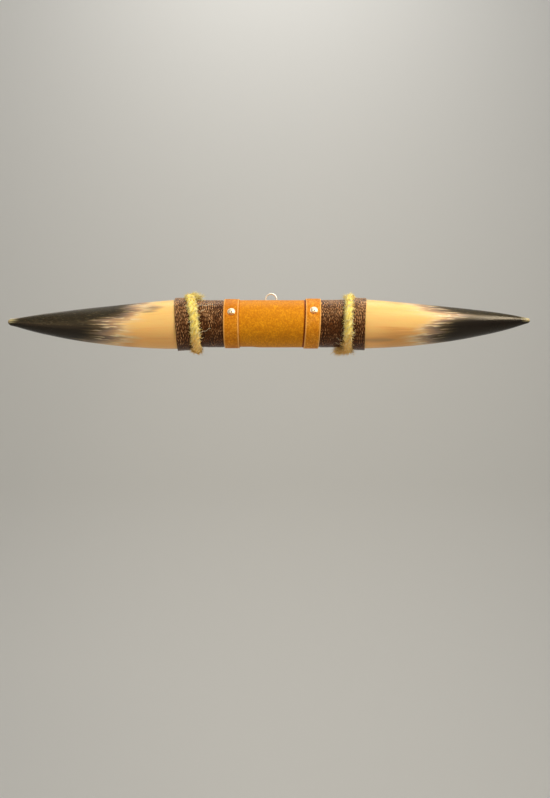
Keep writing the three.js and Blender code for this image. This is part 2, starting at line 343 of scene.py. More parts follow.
@dataclass
class MeshPlan:
    """Points, faces and point values that become one mesh object."""

    points: Array
    faces: list[Any]
    values: dict[str, Array]

    def joined(self, other: "MeshPlan") -> "MeshPlan":
        """Both plans as one, with the values that both have.

        Args:
            other: the plan to add.

        Returns:
            A new plan that holds the faces of both.
        """
        start = len(self.points)
        faces = self.faces + [[i + start for i in face] for face in other.faces]
        values = {k: np.concatenate([v, other.values[k]]) for k, v in self.values.items()}
        return MeshPlan(np.concatenate([self.points, other.points]), faces, values)

    def build(self, name: str, crease: float = 50.0) -> bpy.types.Object:
        """Make the object, in metres in the frame.

        Args:
            name: the object's name.
            crease: the angle in degrees past which an edge stays sharp.

        Returns:
            The new object, linked to the scene.
        """
        mesh = bpy.data.meshes.new(name)
        mesh.from_pydata((self.points * MM + CORE_AXIS).tolist(), [], self.faces)
        for key, value in self.values.items():
            kind, field = ("FLOAT", "value") if value.ndim == 1 else ("FLOAT_VECTOR", "vector")
            slot = mesh.attributes.new(key, kind, "POINT")
            slot.data.foreach_set(field, value.ravel().astype(np.float32))
        mesh.validate()
        mesh.shade_smooth()
        mesh.set_sharp_from_angle(angle=math.radians(crease))
        return placed(name, mesh)


def ring_faces(rings: int, columns: int, looped: bool, flip: bool) -> list[list[int]]:
    """Faces between rings that are closed round.

    Args:
        rings: how many rings there are.
        columns: how many points each ring has.
        looped: whether the last ring joins the first.
        flip: whether to turn the faces over.

    Returns:
        Four cornered faces as lists of point numbers.
    """
    first = np.arange(rings if looped else rings - 1)[:, None]
    column = np.arange(columns)[None, :]
    after, beside = (first + 1) % rings, (column + 1) % columns
    corners = [first * columns + column, first * columns + beside,
               after * columns + beside, after * columns + column]
    faces = np.stack([np.broadcast_to(c, (len(first), columns)) for c in corners], axis=-1)
    faces = faces.reshape(-1, 4)
    return (faces[:, ::-1] if flip else faces).tolist()


def shell_plan(points: Array, looped: bool, flip: bool, values: Mapping[str, Array]) -> MeshPlan:
    """Plan of a skin over rings. Where it isn't looped, both ends are closed to a middle point.

    Args:
        points: rings by columns by 3.
        looped: whether the last ring joins the first.
        flip: whether to turn the faces over.
        values: point values, rings by columns with or without a last axis of 3.

    Returns:
        The plan of a closed mesh.
    """
    rings, columns = points.shape[:2]
    faces = ring_faces(rings, columns, looped, flip)
    flat = points.reshape(-1, 3)
    out = {k: v.reshape((rings * columns,) + v.shape[2:]) for k, v in values.items()}
    if looped:
        return MeshPlan(flat, faces, out)
    ends = np.stack([points[0].mean(0), points[-1].mean(0)])
    count = rings * columns
    for k in range(columns):
        start = [k, count, (k + 1) % columns]
        last = count - columns
        end = [last + k, last + (k + 1) % columns, count + 1]
        faces.extend([start[::-1], end[::-1]] if flip else [start, end])
    for key, value in values.items():
        tips = np.stack([value[0].mean(0), value[-1].mean(0)])
        out[key] = np.concatenate([out[key], tips])
    return MeshPlan(np.concatenate([flat, ends]), faces, out)


def tube_plan(paths: Array, radius: Array, sides: int, looped: bool, lean: Array,
              values: Mapping[str, Array]) -> MeshPlan:
    """Plan of many round tubes at once.

    Args:
        paths: tubes by steps by 3, the centre lines.
        radius: tubes by steps, the radius at each step.
        sides: how many sides a tube has.
        looped: whether each tube closes on itself.
        lean: a vector for each tube that isn't along its path, to set its first side from.
        values: one number for each tube, kept at all its points.

    Returns:
        The plan of closed tubes.
    """
    tubes, steps = paths.shape[:2]
    if looped:
        tangent = unit(np.roll(paths, -1, axis=1) - np.roll(paths, 1, axis=1))
    else:
        tangent = unit(np.gradient(paths, axis=1))
    first = unit(np.cross(tangent, lean[:, None, :]))
    second = np.cross(tangent, first)
    angle = np.arange(sides) * FULL_TURN / sides
    around = (np.cos(angle)[None, None, :, None] * first[:, :, None, :]
              + np.sin(angle)[None, None, :, None] * second[:, :, None, :])
    points = paths[:, :, None, :] + radius[:, :, None, None] * around
    one = np.array(ring_faces(steps, sides, looped, True))
    size = steps * sides
    offsets = (np.arange(tubes) * size)[:, None, None]
    faces = (one[None] + offsets).reshape(-1, 4).tolist()
    if not looped:
        cap = np.arange(sides)
        for t in range(tubes):
            faces.append((cap + t * size).tolist())
            faces.append((cap[::-1] + t * size + size - sides).tolist())
    kept = {k: np.repeat(v, size, axis=0) for k, v in values.items()}
    return MeshPlan(points.reshape(-1, 3), faces, kept)


Operand = Union["Value", float]


class Value:
    """A number socket with the arithmetic of shader nodes."""

    def __init__(self, graph: "Graph", socket: Socket) -> None:
        """Wrap a socket of a graph."""
        self.graph = graph
        self.socket = socket

    def maths(self, operation: str, *others: Operand) -> "Value":
        """Add one Math node.

        Args:
            operation: the node's operation.
            others: the numbers or values after this one.

        Returns:
            The node's result.
        """
        inputs = dict(enumerate([self, *others]))
        node = self.graph.node("ShaderNodeMath", {"operation": operation}, inputs)
        return Value(self.graph, node.outputs[0])

    def __add__(self, other: Operand) -> "Value":
        """Sum."""
        return self.maths("ADD", other)

    __radd__ = __add__

    def __sub__(self, other: Operand) -> "Value":
        """Difference."""
        return self.maths("SUBTRACT", other)

    def __rsub__(self, other: float) -> "Value":
        """Difference, from the right."""
        return (self * -1.0) + other

    def __mul__(self, other: Operand) -> "Value":
        """Product."""
        return self.maths("MULTIPLY", other)

    __rmul__ = __mul__

    def __truediv__(self, other: Operand) -> "Value":
        """Quotient."""
        return self.maths("DIVIDE", other)

    def rise(self, low: float, high: float) -> "Value":
        """Smooth rise from 0 at low to 1 at high.

        Args:
            low: where the rise starts.
            high: where the rise ends, above low.

        Returns:
            A value between 0 and 1.
        """
        settings = {"interpolation_type": "SMOOTHSTEP"}
        inputs = {"Value": self, "From Min": low, "From Max": high}
        return Value(self.graph, self.graph.node("ShaderNodeMapRange", settings, inputs).outputs[0])

    def band(self, centre: float, width: float) -> "Value":
        """Smooth bump of height 1 at the centre, 0 a width away."""
        return 1 - (self - centre).maths("ABSOLUTE").rise(0.0, width)


class Graph:
    """The node tree of one material, and the only place where its nodes are made."""

    def __init__(self, name: str) -> None:
        """Start a material with an empty tree.

        Args:
            name: the material's name.
        """
        self.material = bpy.data.materials.new(name)
        self.material.use_nodes = True
        self.tree = self.material.node_tree
        self.tree.nodes.clear()

    def node(self, kind: str, settings: Optional[Mapping[str, Any]] = None,
             inputs: Optional[Mapping[Union[str, int], Any]] = None) -> bpy.types.Node:
        """Add a node.

        Args:
            kind: the node's type.
            settings: its own settings, set first. stops are a ramp's places and colours.
            inputs: numbers, colours, values or sockets by socket name or number.

        Returns:
            The new node.
        """
        made = self.tree.nodes.new(kind)
        for key, setting in (settings or {}).items():
            if key == "stops":
                self.set_stops(made.color_ramp, setting)
            else:
                setattr(made, key, setting)
        for key, given in (inputs or {}).items():
            source = given.socket if isinstance(given, Value) else given
            if isinstance(source, Socket):
                self.tree.links.new(source, made.inputs[key])
            else:
                made.inputs[key].default_value = source
        return made

    @staticmethod
    def set_stops(ramp: bpy.types.ColorRamp, stops: Sequence[tuple[float, Colour]]) -> None:
        """Give a ramp its stops.

        Args:
            ramp: the ramp of a node.
            stops: places in rising order, each with its colour.
        """
        while len(ramp.elements) < len(stops):
            ramp.elements.new(1.0)
        for element, (place, shade) in zip(ramp.elements, stops):
            element.position = place
            element.color = shade

    def attribute(self, name: str) -> bpy.types.Node:
        """Node that reads a point value of the mesh."""
        return self.node("ShaderNodeAttribute", {"attribute_name": name})

    def number(self, name: str) -> Value:
        """A point value of the mesh as a number."""
        return Value(self, self.attribute(name).outputs["Fac"])

    def split(self, vector: Socket) -> tuple[Value, Value, Value]:
        """The three numbers of a vector."""
        x, y, z = self.node("ShaderNodeSeparateXYZ", None, {0: vector}).outputs
        return Value(self, x), Value(self, y), Value(self, z)

    def object_place(self) -> Socket:
        """Place on the object, in metres."""
        return self.node("ShaderNodeTexCoord").outputs["Object"]

    def stretch(self, vector: Socket, by: Triple) -> Socket:
        """A vector with each part multiplied.

        Args:
            vector: the vector socket.
            by: the three factors.

        Returns:
            The stretched vector's socket.
        """
        settings = {"operation": "MULTIPLY"}
        return self.node("ShaderNodeVectorMath", settings, {0: vector, 1: by}).outputs[0]

    def noise(self, vector: Socket, scale: float, detail: float = 3.0,
              roughness: float = 0.5, distortion: float = 0.0) -> Value:
        """Soft noise between about 0 and 1.

        Args:
            vector: where to read it.
            scale: how fine it is.
            detail: how many finer layers it has.
            roughness: how strong those are.
            distortion: how much it is swirled.

        Returns:
            The noise.
        """
        inputs = {"Vector": vector, "Scale": scale, "Detail": detail, "Roughness": roughness,
                  "Distortion": distortion}
        return Value(self, self.node("ShaderNodeTexNoise", None, inputs).outputs[0])

    def cells(self, vector: Socket, scale: float) -> Value:
        """Distance from the nearest of many scattered points."""
        made = self.node("ShaderNodeTexVoronoi", None, {"Vector": vector, "Scale": scale})
        return Value(self, made.outputs["Distance"])

    def ramp(self, factor: Value, stops: Sequence[tuple[float, Colour]]) -> Socket:
        """Colour that follows a value through stops."""
        return self.node("ShaderNodeValToRGB", {"stops": stops}, {0: factor}).outputs[0]

    def mix(self, factor: Operand, low: Any, high: Any) -> Socket:
        """Blend of two colours.

        Args:
            factor: 0 gives low and 1 gives high.
            low: a colour or a colour socket.
            high: a colour or a colour socket.

        Returns:
            The blended colour's socket.
        """
        settings = {"data_type": "RGBA"}
        return self.node("ShaderNodeMix", settings, {0: factor, 6: low, 7: high}).outputs[2]

    def bump(self, height: Value, depth: float) -> Socket:
        """Surface normal of a height, where a height of 1 is so many millimetres deep."""
        inputs = {"Height": height, "Distance": depth * MM, "Strength": 1.0}
        return self.node("ShaderNodeBump", None, inputs).outputs[0]

    def finish(self, inputs: Mapping[str, Any]) -> bpy.types.Material:
        """Close the tree with the main shader.

        Args:
            inputs: what its sockets get.

        Returns:
            The finished material.
        """
        shader = self.node("ShaderNodeBsdfPrincipled", None, inputs)
        self.node("ShaderNodeOutputMaterial", None, {"Surface": shader.outputs[0]})
        return self.material


class Finish(Protocol):
    """Any finish, which makes one material."""

    def material(self) -> bpy.types.Material:
        """Make the material."""


@dataclass(frozen=True)
class HornFinish:
    """Polished horn: cream at the base, streaked through grey into black, pale at the very tip.

    zones holds, for heights from -1 at the bottom to 1 at the top, where x starts to darken and
    where it is dark. Below black_below the dark part is black, and above it olive brown that is
    partly the horn's own tone and partly a painted reflection of the room. The lower side of the
    pale part is painted warmer and brighter as painted light. smudges holds the x, height, half
    length, half height and strength of grey smudges in the pale part.
    """

    name: str
    tip_x: float
    zones: Sequence[Triple]
    black_below: float
    warm_x: tuple[float, float]
    warm_top: float
    smudges: Sequence[tuple[float, float, float, float, float]]
    cream: Colour = paint("fbcf82")
    cream_painted_underside: Colour = paint("ffbf70")
    warm: Colour = paint("e1a55c")
    vein: Colour = paint("dba25a")
    white: Colour = paint("fbeccb")
    bone: Colour = paint("efd3a0")
    blush: Colour = paint("bd9a78")
    mauve: Colour = paint("867464")
    brown: Colour = paint("4d402d")
    olive_with_painted_sheen: Colour = paint("2c2619")
    speck: Colour = paint("72664a")
    black: Colour = paint("120b07")
    tip: Colour = paint("cdc397")

    def material(self) -> bpy.types.Material:
        """Make the material. Point value place holds x in decimetres, then front and top.

        Returns:
            The material.
        """
        g = Graph(self.name)
        place = g.attribute("place").outputs["Vector"]
        x, _, top = g.split(place)
        x = x * DECIMETRE
        broad = g.noise(g.stretch(place, (1.3, 2.4, 2.4)), 1.0, 2.0, 0.5, 0.3) - 0.5
        streaks = g.noise(g.stretch(place, (2.2, 10.0, 10.0)), 1.0, 3.0, 0.5) - 0.5
        hair = g.noise(g.stretch(place, (1.7, 40.0, 40.0)), 1.0, 3.0, 0.5) - 0.5
        mottle = g.noise(g.stretch(place, (24.0, 30.0, 30.0)), 1.0, 3.0, 0.6) - 0.5
        blots = g.noise(g.stretch(place, (5.0, 9.0, 9.0)), 1.0, 2.0, 0.5)
        start, end = self.edges(g, top)
        depth = (x - start) / (end - start)
        depth = depth + broad * 0.9 + streaks * 0.6 + hair * 0.28 + mottle * 0.1
        # Painted light: the lower side of the pale part is painted warmer and brighter, standing in for
        # light that shines through the horn's lower side.
        pale = g.mix((top * -1.0 + streaks).rise(-0.2, 0.9), self.cream, self.cream_painted_underside)
        pale = g.mix((hair + streaks * 0.5).rise(0.05, 0.3) * 0.35, pale, self.vein)
        low = (top * -1.0 + streaks).rise(-self.warm_top, 0.4 - self.warm_top)
        pale = g.mix(x.rise(*self.warm_x) * low * 0.8, pale, self.warm)
        pale = g.mix(self.smudged(x, top, streaks + hair), pale, self.mauve)
        shade = g.ramp(depth, [(0.0, self.bone), (0.22, self.blush), (0.44, self.mauve),
                               (0.66, self.brown), (0.88, self.olive_with_painted_sheen)])
        body = g.mix(depth.rise(-0.28, 0.22), pale, shade)
        body = g.mix(blots.rise(0.55, 0.66) * depth.band(0.25, 0.5) * 0.8, body, self.white)
        wisps = (hair + blots - 0.5).rise(0.06, 0.24) * depth.band(0.45, 0.45)
        body = g.mix(wisps * 0.6, body, self.bone)
        # The dark part is black below a set height. Above it, the olive brown is partly a painted
        # reflection of the room, so it reads lighter.
        black_under_painted_sheen = (self.black_below - top + streaks * 0.5).rise(-0.09, 0.09) * depth.rise(0.65, 1.05)
        body = g.mix(black_under_painted_sheen, body, self.black)
        specks = mottle.rise(0.04, 0.2) * depth.rise(0.5, 0.9) * (1 - black_under_painted_sheen)
        body = g.mix(specks * 0.6, body, self.speck)
        ends = (x + streaks * 20.0 + top * 5.0).rise(self.tip_x - 9.0, self.tip_x + 5.0)
        body = g.mix(ends, body, self.tip)
        rough = 0.36 + depth.band(0.75, 0.5) * 0.1 + mottle * 0.12 + hair * 0.1
        rough = rough - x.rise(self.tip_x - 90.0, self.tip_x - 30.0) * 0.1
        return g.finish({"Base Color": body, "Roughness": rough, "Normal": g.bump(hair, 0.12),
                         "IOR": 1.5, "Specular IOR Level": 0.38, "Specular Tint": (1.0, 0.88, 0.7, 1.0),
                         "Coat Weight": 0.08, "Coat Roughness": 0.14,
                         "Subsurface Weight": 0.4, "Subsurface Scale": 0.006,
                         "Subsurface Radius": (1.0, 0.55, 0.25)})

    def smudged(self, x: Value, top: Value, blur: Value) -> Value:
        """Soft grey smudges in the pale part.

        Args:
            x: distance from the middle.
            top: height from -1 at the bottom to 1 at the top.
            blur: noise that breaks up the edges.

        Returns:
            How grey the surface is, from 0 to 1.
        """
        total: Operand = 0.0
        for at_x, at_top, length, height, strength in self.smudges:
            along, up = (x - at_x) / length, (top - at_top) / height
            total = (1 - (along * along + up * up + blur * 1.4).rise(-0.1, 1.2)) * strength + total
        return total

    def edges(self, g: Graph, top: Value) -> tuple[Value, Value]:
        """Where the horn starts to darken and where it is dark.

        Args:
            g: the material's tree.
            top: height from -1 at the bottom to 1 at the top.

        Returns:
            Both distances from the middle at that height.
        """
        reach = 400.0
        stops = [((t + 1) / 2, (a / reach, b / reach, 0.0, 1.0)) for t, a, b in self.zones]
        parts = g.node("ShaderNodeSeparateColor", None, {0: g.ramp((top + 1) * 0.5, stops)}).outputs
        return Value(g, parts[0]) * reach, Value(g, parts[1]) * reach


@dataclass(frozen=True)
class GrainedLeather:
    """Dark brown leather whose pebbled grain is in the mesh as the point value relief."""

    name: str = "brown leather"
    crease: Colour = paint("1a0a03")
    face: Colour = paint("5a2e10")
    painted_reflection: Colour = paint("c8996a")
    middle_radius: float = 29.0
    cuff_from: float = 92.0

    def material(self) -> bpy.types.Material:
        """Make the material. The creases get painted shade, and the tops of the grain get painted
        glints, more of them on high places and on the cuff.

        Returns:
            The material.
        """
        g = Graph(self.name)
        place = g.object_place()
        relief = g.number("relief")
        fine = g.noise(place, 900.0, 4.0, 0.6)
        broad = g.noise(place, 60.0, 3.0)
        # Painted shade: the creases between the pebbles are painted near black, where the relief lies in
        # shade.
        body = g.mix(relief.rise(0.15, 0.6), self.crease, self.face)
        x, _, z = g.split(place)
        height = (z - float(CORE_AXIS[2])) / (self.middle_radius * MM)
        cuff = (x.maths("ABSOLUTE") / MM).rise(self.cuff_from, HORN_START)
        # Painted highlight: light tan glints are painted on the tops of the grain. They grow with
        # height, vary at random, and there are more on the cuff.
        painted_glints = relief + (broad - 0.5) * 0.5 + height * 0.2 + cuff * 0.1
        body = g.mix(painted_glints.rise(0.42, 1.0), body, self.painted_reflection)
        rough = 0.42 - relief * 0.16 + (fine - 0.5) * 0.12
        normal = g.bump(fine, 0.1)
        return g.finish({"Base Color": body, "Roughness": rough, "Normal": normal, "IOR": 1.5,
                         "Specular IOR Level": 0.3, "Specular Tint": (1.0, 0.66, 0.38, 1.0)})


@dataclass(frozen=True)
class SmoothLeather:
    """Tan leather with a fine mottle. The point value edge marks the pale cut edges of a strap,
    and on the wrap a painted shadow beside the straps.
    """

    name: str
    light: Colour
    deep: Colour
    cut_edge_and_painted_shadow: Colour
    blotch: float = 0.0
    scar: Colour = paint("b86c10")

    def material(self) -> bpy.types.Material:
        """Make the material.

        Returns:
            The material.
        """
        g = Graph(self.name)
        place = g.object_place()
        edge = g.number("edge")
        grain = g.noise(place, 420.0, 3.0, 0.6)
        mottle = g.noise(place, 130.0, 4.0, 0.6)
        broad = g.noise(place, 34.0, 3.0)
        pores = g.cells(place, 560.0)
        strokes = g.noise(g.stretch(place, (1.0, 0.4, 0.4)), 620.0, 3.0, 0.6)
        body = g.mix((grain * 0.5 + mottle * 0.25 + broad * 0.25).rise(0.4, 0.6), self.deep, self.light)
        body = g.mix(broad.rise(0.5, 0.68) * self.blotch, body, self.cut_edge_and_painted_shadow)
        body = g.mix((pores * 0.5 + strokes * 0.8).rise(0.48, 0.78) * 0.5, body, self.scar)
        # On a strap this is the pale cut edge. On the wrap it is a painted shadow: a dark red brown band
        # where the straps shade the wrap.
        body = g.mix(edge, body, self.cut_edge_and_painted_shadow)
        rough = 0.46 + mottle * 0.16
        height = grain * 0.4 - pores * 0.5 - strokes * 0.7
        return g.finish({"Base Color": body, "Roughness": rough, "Normal": g.bump(height, 0.22),
                         "IOR": 1.4, "Specular IOR Level": 0.42,
                         "Specular Tint": (1.0, 0.6, 0.22, 1.0)})


@dataclass(frozen=True)
class RopeFibre:
    """Straw yellow fibre. The point value tint sets each fibre's own shade.

    From one depth to a deeper one, in millimetres below the eye, the fibre is painted warmer and
    brighter: painted light on the rope's lower side.
    """

    name: str = "rope fibre"
    gold: Colour = paint("f2d25c")
    straw: Colour = paint("fdf090")
    pale: Colour = paint("fffadc")
    shade: Colour = paint("c08e34")
    painted_underlight: Colour = paint("ffd084")
    painted_underlight_from: float = 45.0
    painted_underlight_full: float = 68.0

    def material(self) -> bpy.types.Material:
        """Make the material.

        Returns:
            The material.
        """
        g = Graph(self.name)
        place = g.object_place()
        tint = g.number("tint")
        clumps = g.noise(place, 420.0, 4.0, 0.6)
        body = g.ramp(tint * 0.6 + clumps * 0.5, [(0.14, self.shade), (0.34, self.gold),
                                                  (0.55, self.straw), (0.85, self.pale)])
        # Painted light: the lower part of the rope is painted warmer and brighter, less so on the palest
        # fibres, standing in for light reaching its underside.
        low = (g.split(place)[2] / -MM).rise(self.painted_underlight_from, self.painted_underlight_full)
        body = g.mix(low * (0.9 - tint * 0.4), body, self.painted_underlight)
        normal = g.bump(g.noise(place, 1600.0, 3.0), 0.15)
        return g.finish({"Base Color": body, "Roughness": 0.86, "Normal": normal,
                         "Specular IOR Level": 0.2})


@dataclass(frozen=True)
class BrightMetal:
    """Plated metal with faint tarnish and fine scratches."""

    name: str
    bright: Colour
    dull: Colour
    smooth: float
    painted_leather_reflection: Colour = paint("d8923c")
    painted_dark_reflection: Colour = paint("4a2208")

    def material(self) -> bpy.types.Material:
        """Make the material. A point value marks the lower part of a stud's cap, where a painted
        reflection of the leather in orange goes. The point value dent marks a small dent whose dark
        spot is a painted reflection.

        Returns:
            The material.
        """
        g = Graph(self.name)
        place = g.object_place()
        tarnish = g.noise(place, 500.0, 4.0, 0.6)
        scratches = g.noise(g.stretch(place, (1.0, 0.15, 1.0)), 2600.0, 2.0)
        body = g.mix(tarnish.rise(0.5, 0.8) * 0.6, self.bright, self.dull)
        # Painted reflection: the lower part of the cap is painted orange, standing in for the leather
        # that it reflects.
        body = g.mix(g.number("painted_reflection") * 0.85, body, self.painted_leather_reflection)
        # Painted reflection: the small dent is painted dark, standing in for something dark that the
        # dome reflects.
        body = g.mix(g.number("dent").rise(0.15, 0.6), body, self.painted_dark_reflection)
        rough = self.smooth + tarnish * 0.14 + scratches * 0.06
        return g.finish({"Base Color": body, "Roughness": rough, "Metallic": 1.0,
                         "Normal": g.bump(scratches, 0.01)})


@dataclass(frozen=True)
class TurnedWood:
    """Plain wood with long grain along the core."""

    name: str = "turned wood"
    early: Colour = paint("c99a63")
    late: Colour = paint("98683a")

    def material(self) -> bpy.types.Material:
        """Make the material.

        Returns:
            The material.
        """
        g = Graph(self.name)
        place = g.object_place()
        rings = g.noise(g.stretch(place, (0.08, 1.0, 1.0)), 330.0, 4.0, 0.6)
        body = g.mix(rings.rise(0.4, 0.62), self.early, self.late)
        return g.finish({"Base Color": body, "Roughness": 0.55 + rings * 0.25,
                         "Normal": g.bump(rings, 0.2)})


@dataclass(frozen=True)
class StudioPaint:
    """Plain pale paint of the floor and backdrop."""

    name: str = "studio paint"
    shade: Colour = (0.74, 0.74, 0.72, 1.0)

    def material(self) -> bpy.types.Material:
        """Make the material.

        Returns:
            The material.
        """
        g = Graph(self.name)
        return g.finish({"Base Color": self.shade, "Roughness": 0.9})


class Slot(Enum):
    """Material slots of the record for the pieces that are dressed here."""

    HORN = "horn"
    TAN = "tan_leather"
    BROWN = "brown_leather"
    STRAP = "strap_leather"
    ROPE = "rope"
    NICKEL = "nickel"
    STEEL = "steel"


def coat(piece: bpy.types.Object, finish: Finish) -> None:
    """Give a piece one finish in place of what it had."""
    piece.data.materials.clear()
    piece.data.materials.append(finish.material())


def settle(piece: bpy.types.Object, node: str, finish: Finish) -> None:
    """Dress a piece and put it in its CAD node's place.

    Args:
        piece: the finished mesh.
        node: the CAD node that it stands for.
        finish: the finish that makes its material.
    """
    coat(piece, finish)
    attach(piece, "root")
    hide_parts(node)
    log.info("%s: %d faces", piece.name, len(piece.data.polygons))


@dataclass
class Horn:
    """One polished horn, hollow at the base where the core's tenon sits."""

    side: Side
    finish: HornFinish
    seed: int
    body_rings: int = 175
    nose_rings: int = 18
    columns: int = 120
    hollow_depth: float = 58.0
    hollow_base: float = 20.3
    hollow_end: float = 14.3
    tip_gap: float = 0.06
    fade_from: float = 60.0
    fade_to: float = 4.0
    ripples: Sequence[Swell] = (Swell(0.16, 38.0, 16.0), Swell(0.06, 7.0, 60.0))

    def outline(self, x: Array) -> Array:
        """Outline of the horn, a taper that ends in a round nose.

        Args:
            x: distances outwards from the middle.

        Returns:
            The radius at each distance.
        """
        side = self.side
        share = np.clip((x - HORN_START) / (side.tip_x - HORN_START), 0.0, 1.0)
        taper = side.base_radius * (1 - share**side.fullness) ** side.roundness
        to_tip = np.clip((side.tip_x - x) / side.nose_radius, 0.0, 1.0)
        return (taper**4 + side.nose_radius**4) ** 0.25 * np.sqrt(1 - (1 - to_tip) ** 2)

    def build(self) -> bpy.types.Object:
        """Make the mesh.

        Returns:
            The horn.
        """
        side = self.side
        nose_start = side.tip_x - side.nose_radius
        nose = np.sin(np.linspace(0.0, QUARTER_TURN - self.tip_gap, self.nose_rings))
        outside_x = np.concatenate([np.linspace(HORN_START, nose_start, self.body_rings),
                                    (nose_start + side.nose_radius * nose)[1:]])
        turn = np.arange(self.columns) * FULL_TURN / self.columns
        radius = np.repeat(self.outline(outside_x)[:, None], self.columns, axis=1)
        along, across = np.meshgrid(outside_x, turn * side.base_radius, indexing="ij")
        grain = Grain(self.seed, FULL_TURN * side.base_radius)
        fade = ease(outside_x, side.tip_x - self.fade_to, side.tip_x - self.fade_from)[:, None]
        radius = radius + fade * grain.swell(along, across, *self.ripples)
        x = np.concatenate([np.linspace(HORN_START + self.hollow_depth, HORN_START, 3), outside_x])
        inside_r = np.linspace(self.hollow_end, self.hollow_base, 3)
        radius = np.concatenate([np.repeat(inside_r[:, None], self.columns, axis=1), radius])
        points = side.shell(x, turn, radius)
        place = np.broadcast_arrays(x[:, None] / DECIMETRE, np.cos(turn)[None], np.sin(turn)[None])
        plan = shell_plan(points, False, side.sign < 0, {"place": np.stack(place, axis=-1)})
        return plan.build(f"horn_{side.name}_polished")

    def dress(self, piece: bpy.types.Object) -> None:
        """Give the horn its finish and its place."""
        settle(piece, f"horn_{self.side.name}", self.finish)


@dataclass
class LeatherTube:
    """Base of the leather pieces that go round the core: a profile swept round, with relief."""

    side: Side
    seed: int
    columns: int = 340
    seam_depth: float = 0.5
    seam_width: float = 0.7

    def sweep(self, outside: Array, inside: Array, relief: Array,
              values: Mapping[str, Array]) -> MeshPlan:
        """Sweep a closed profile round the side's centre line.

        Args:
            outside: outer corners as x and radius, from the inner end to the outer end.
            inside: inner corners the other way.
            relief: height added to the outer corners, one row a corner.
            values: point values of the outer corners. Inner corners get 0.

        Returns:
            The plan of the closed piece.
        """
        turn = self.turns()
        profile = np.concatenate([outside, inside])
        radius = np.repeat(profile[:, 1:2], self.columns, axis=1)
        radius[:len(outside)] += relief
        points = self.side.shell(profile[:, 0], turn, radius)
        rest = np.zeros((len(inside), self.columns))
        kept = {k: np.concatenate([v, rest]) for k, v in values.items()}
        return shell_plan(points, True, self.side.sign < 0, kept)

    def turns(self) -> Array:
        """Angles round the piece."""
        return np.arange(self.columns) * FULL_TURN / self.columns

    def seam(self, turn: Array, radius: float) -> Array:
        """Groove of the closing seam at the back, below 0 in the groove."""
        away = np.abs(turn_gap(turn, math.pi)) * radius
        return -self.seam_depth * np.exp(-((away / self.seam_width) ** 2))

    def grid(self, x: Array, radius: float) -> tuple[Array, Array]:
        """Distances along and round the piece for each corner and turn."""
        return np.meshgrid(x, self.turns() * radius, indexing="ij")


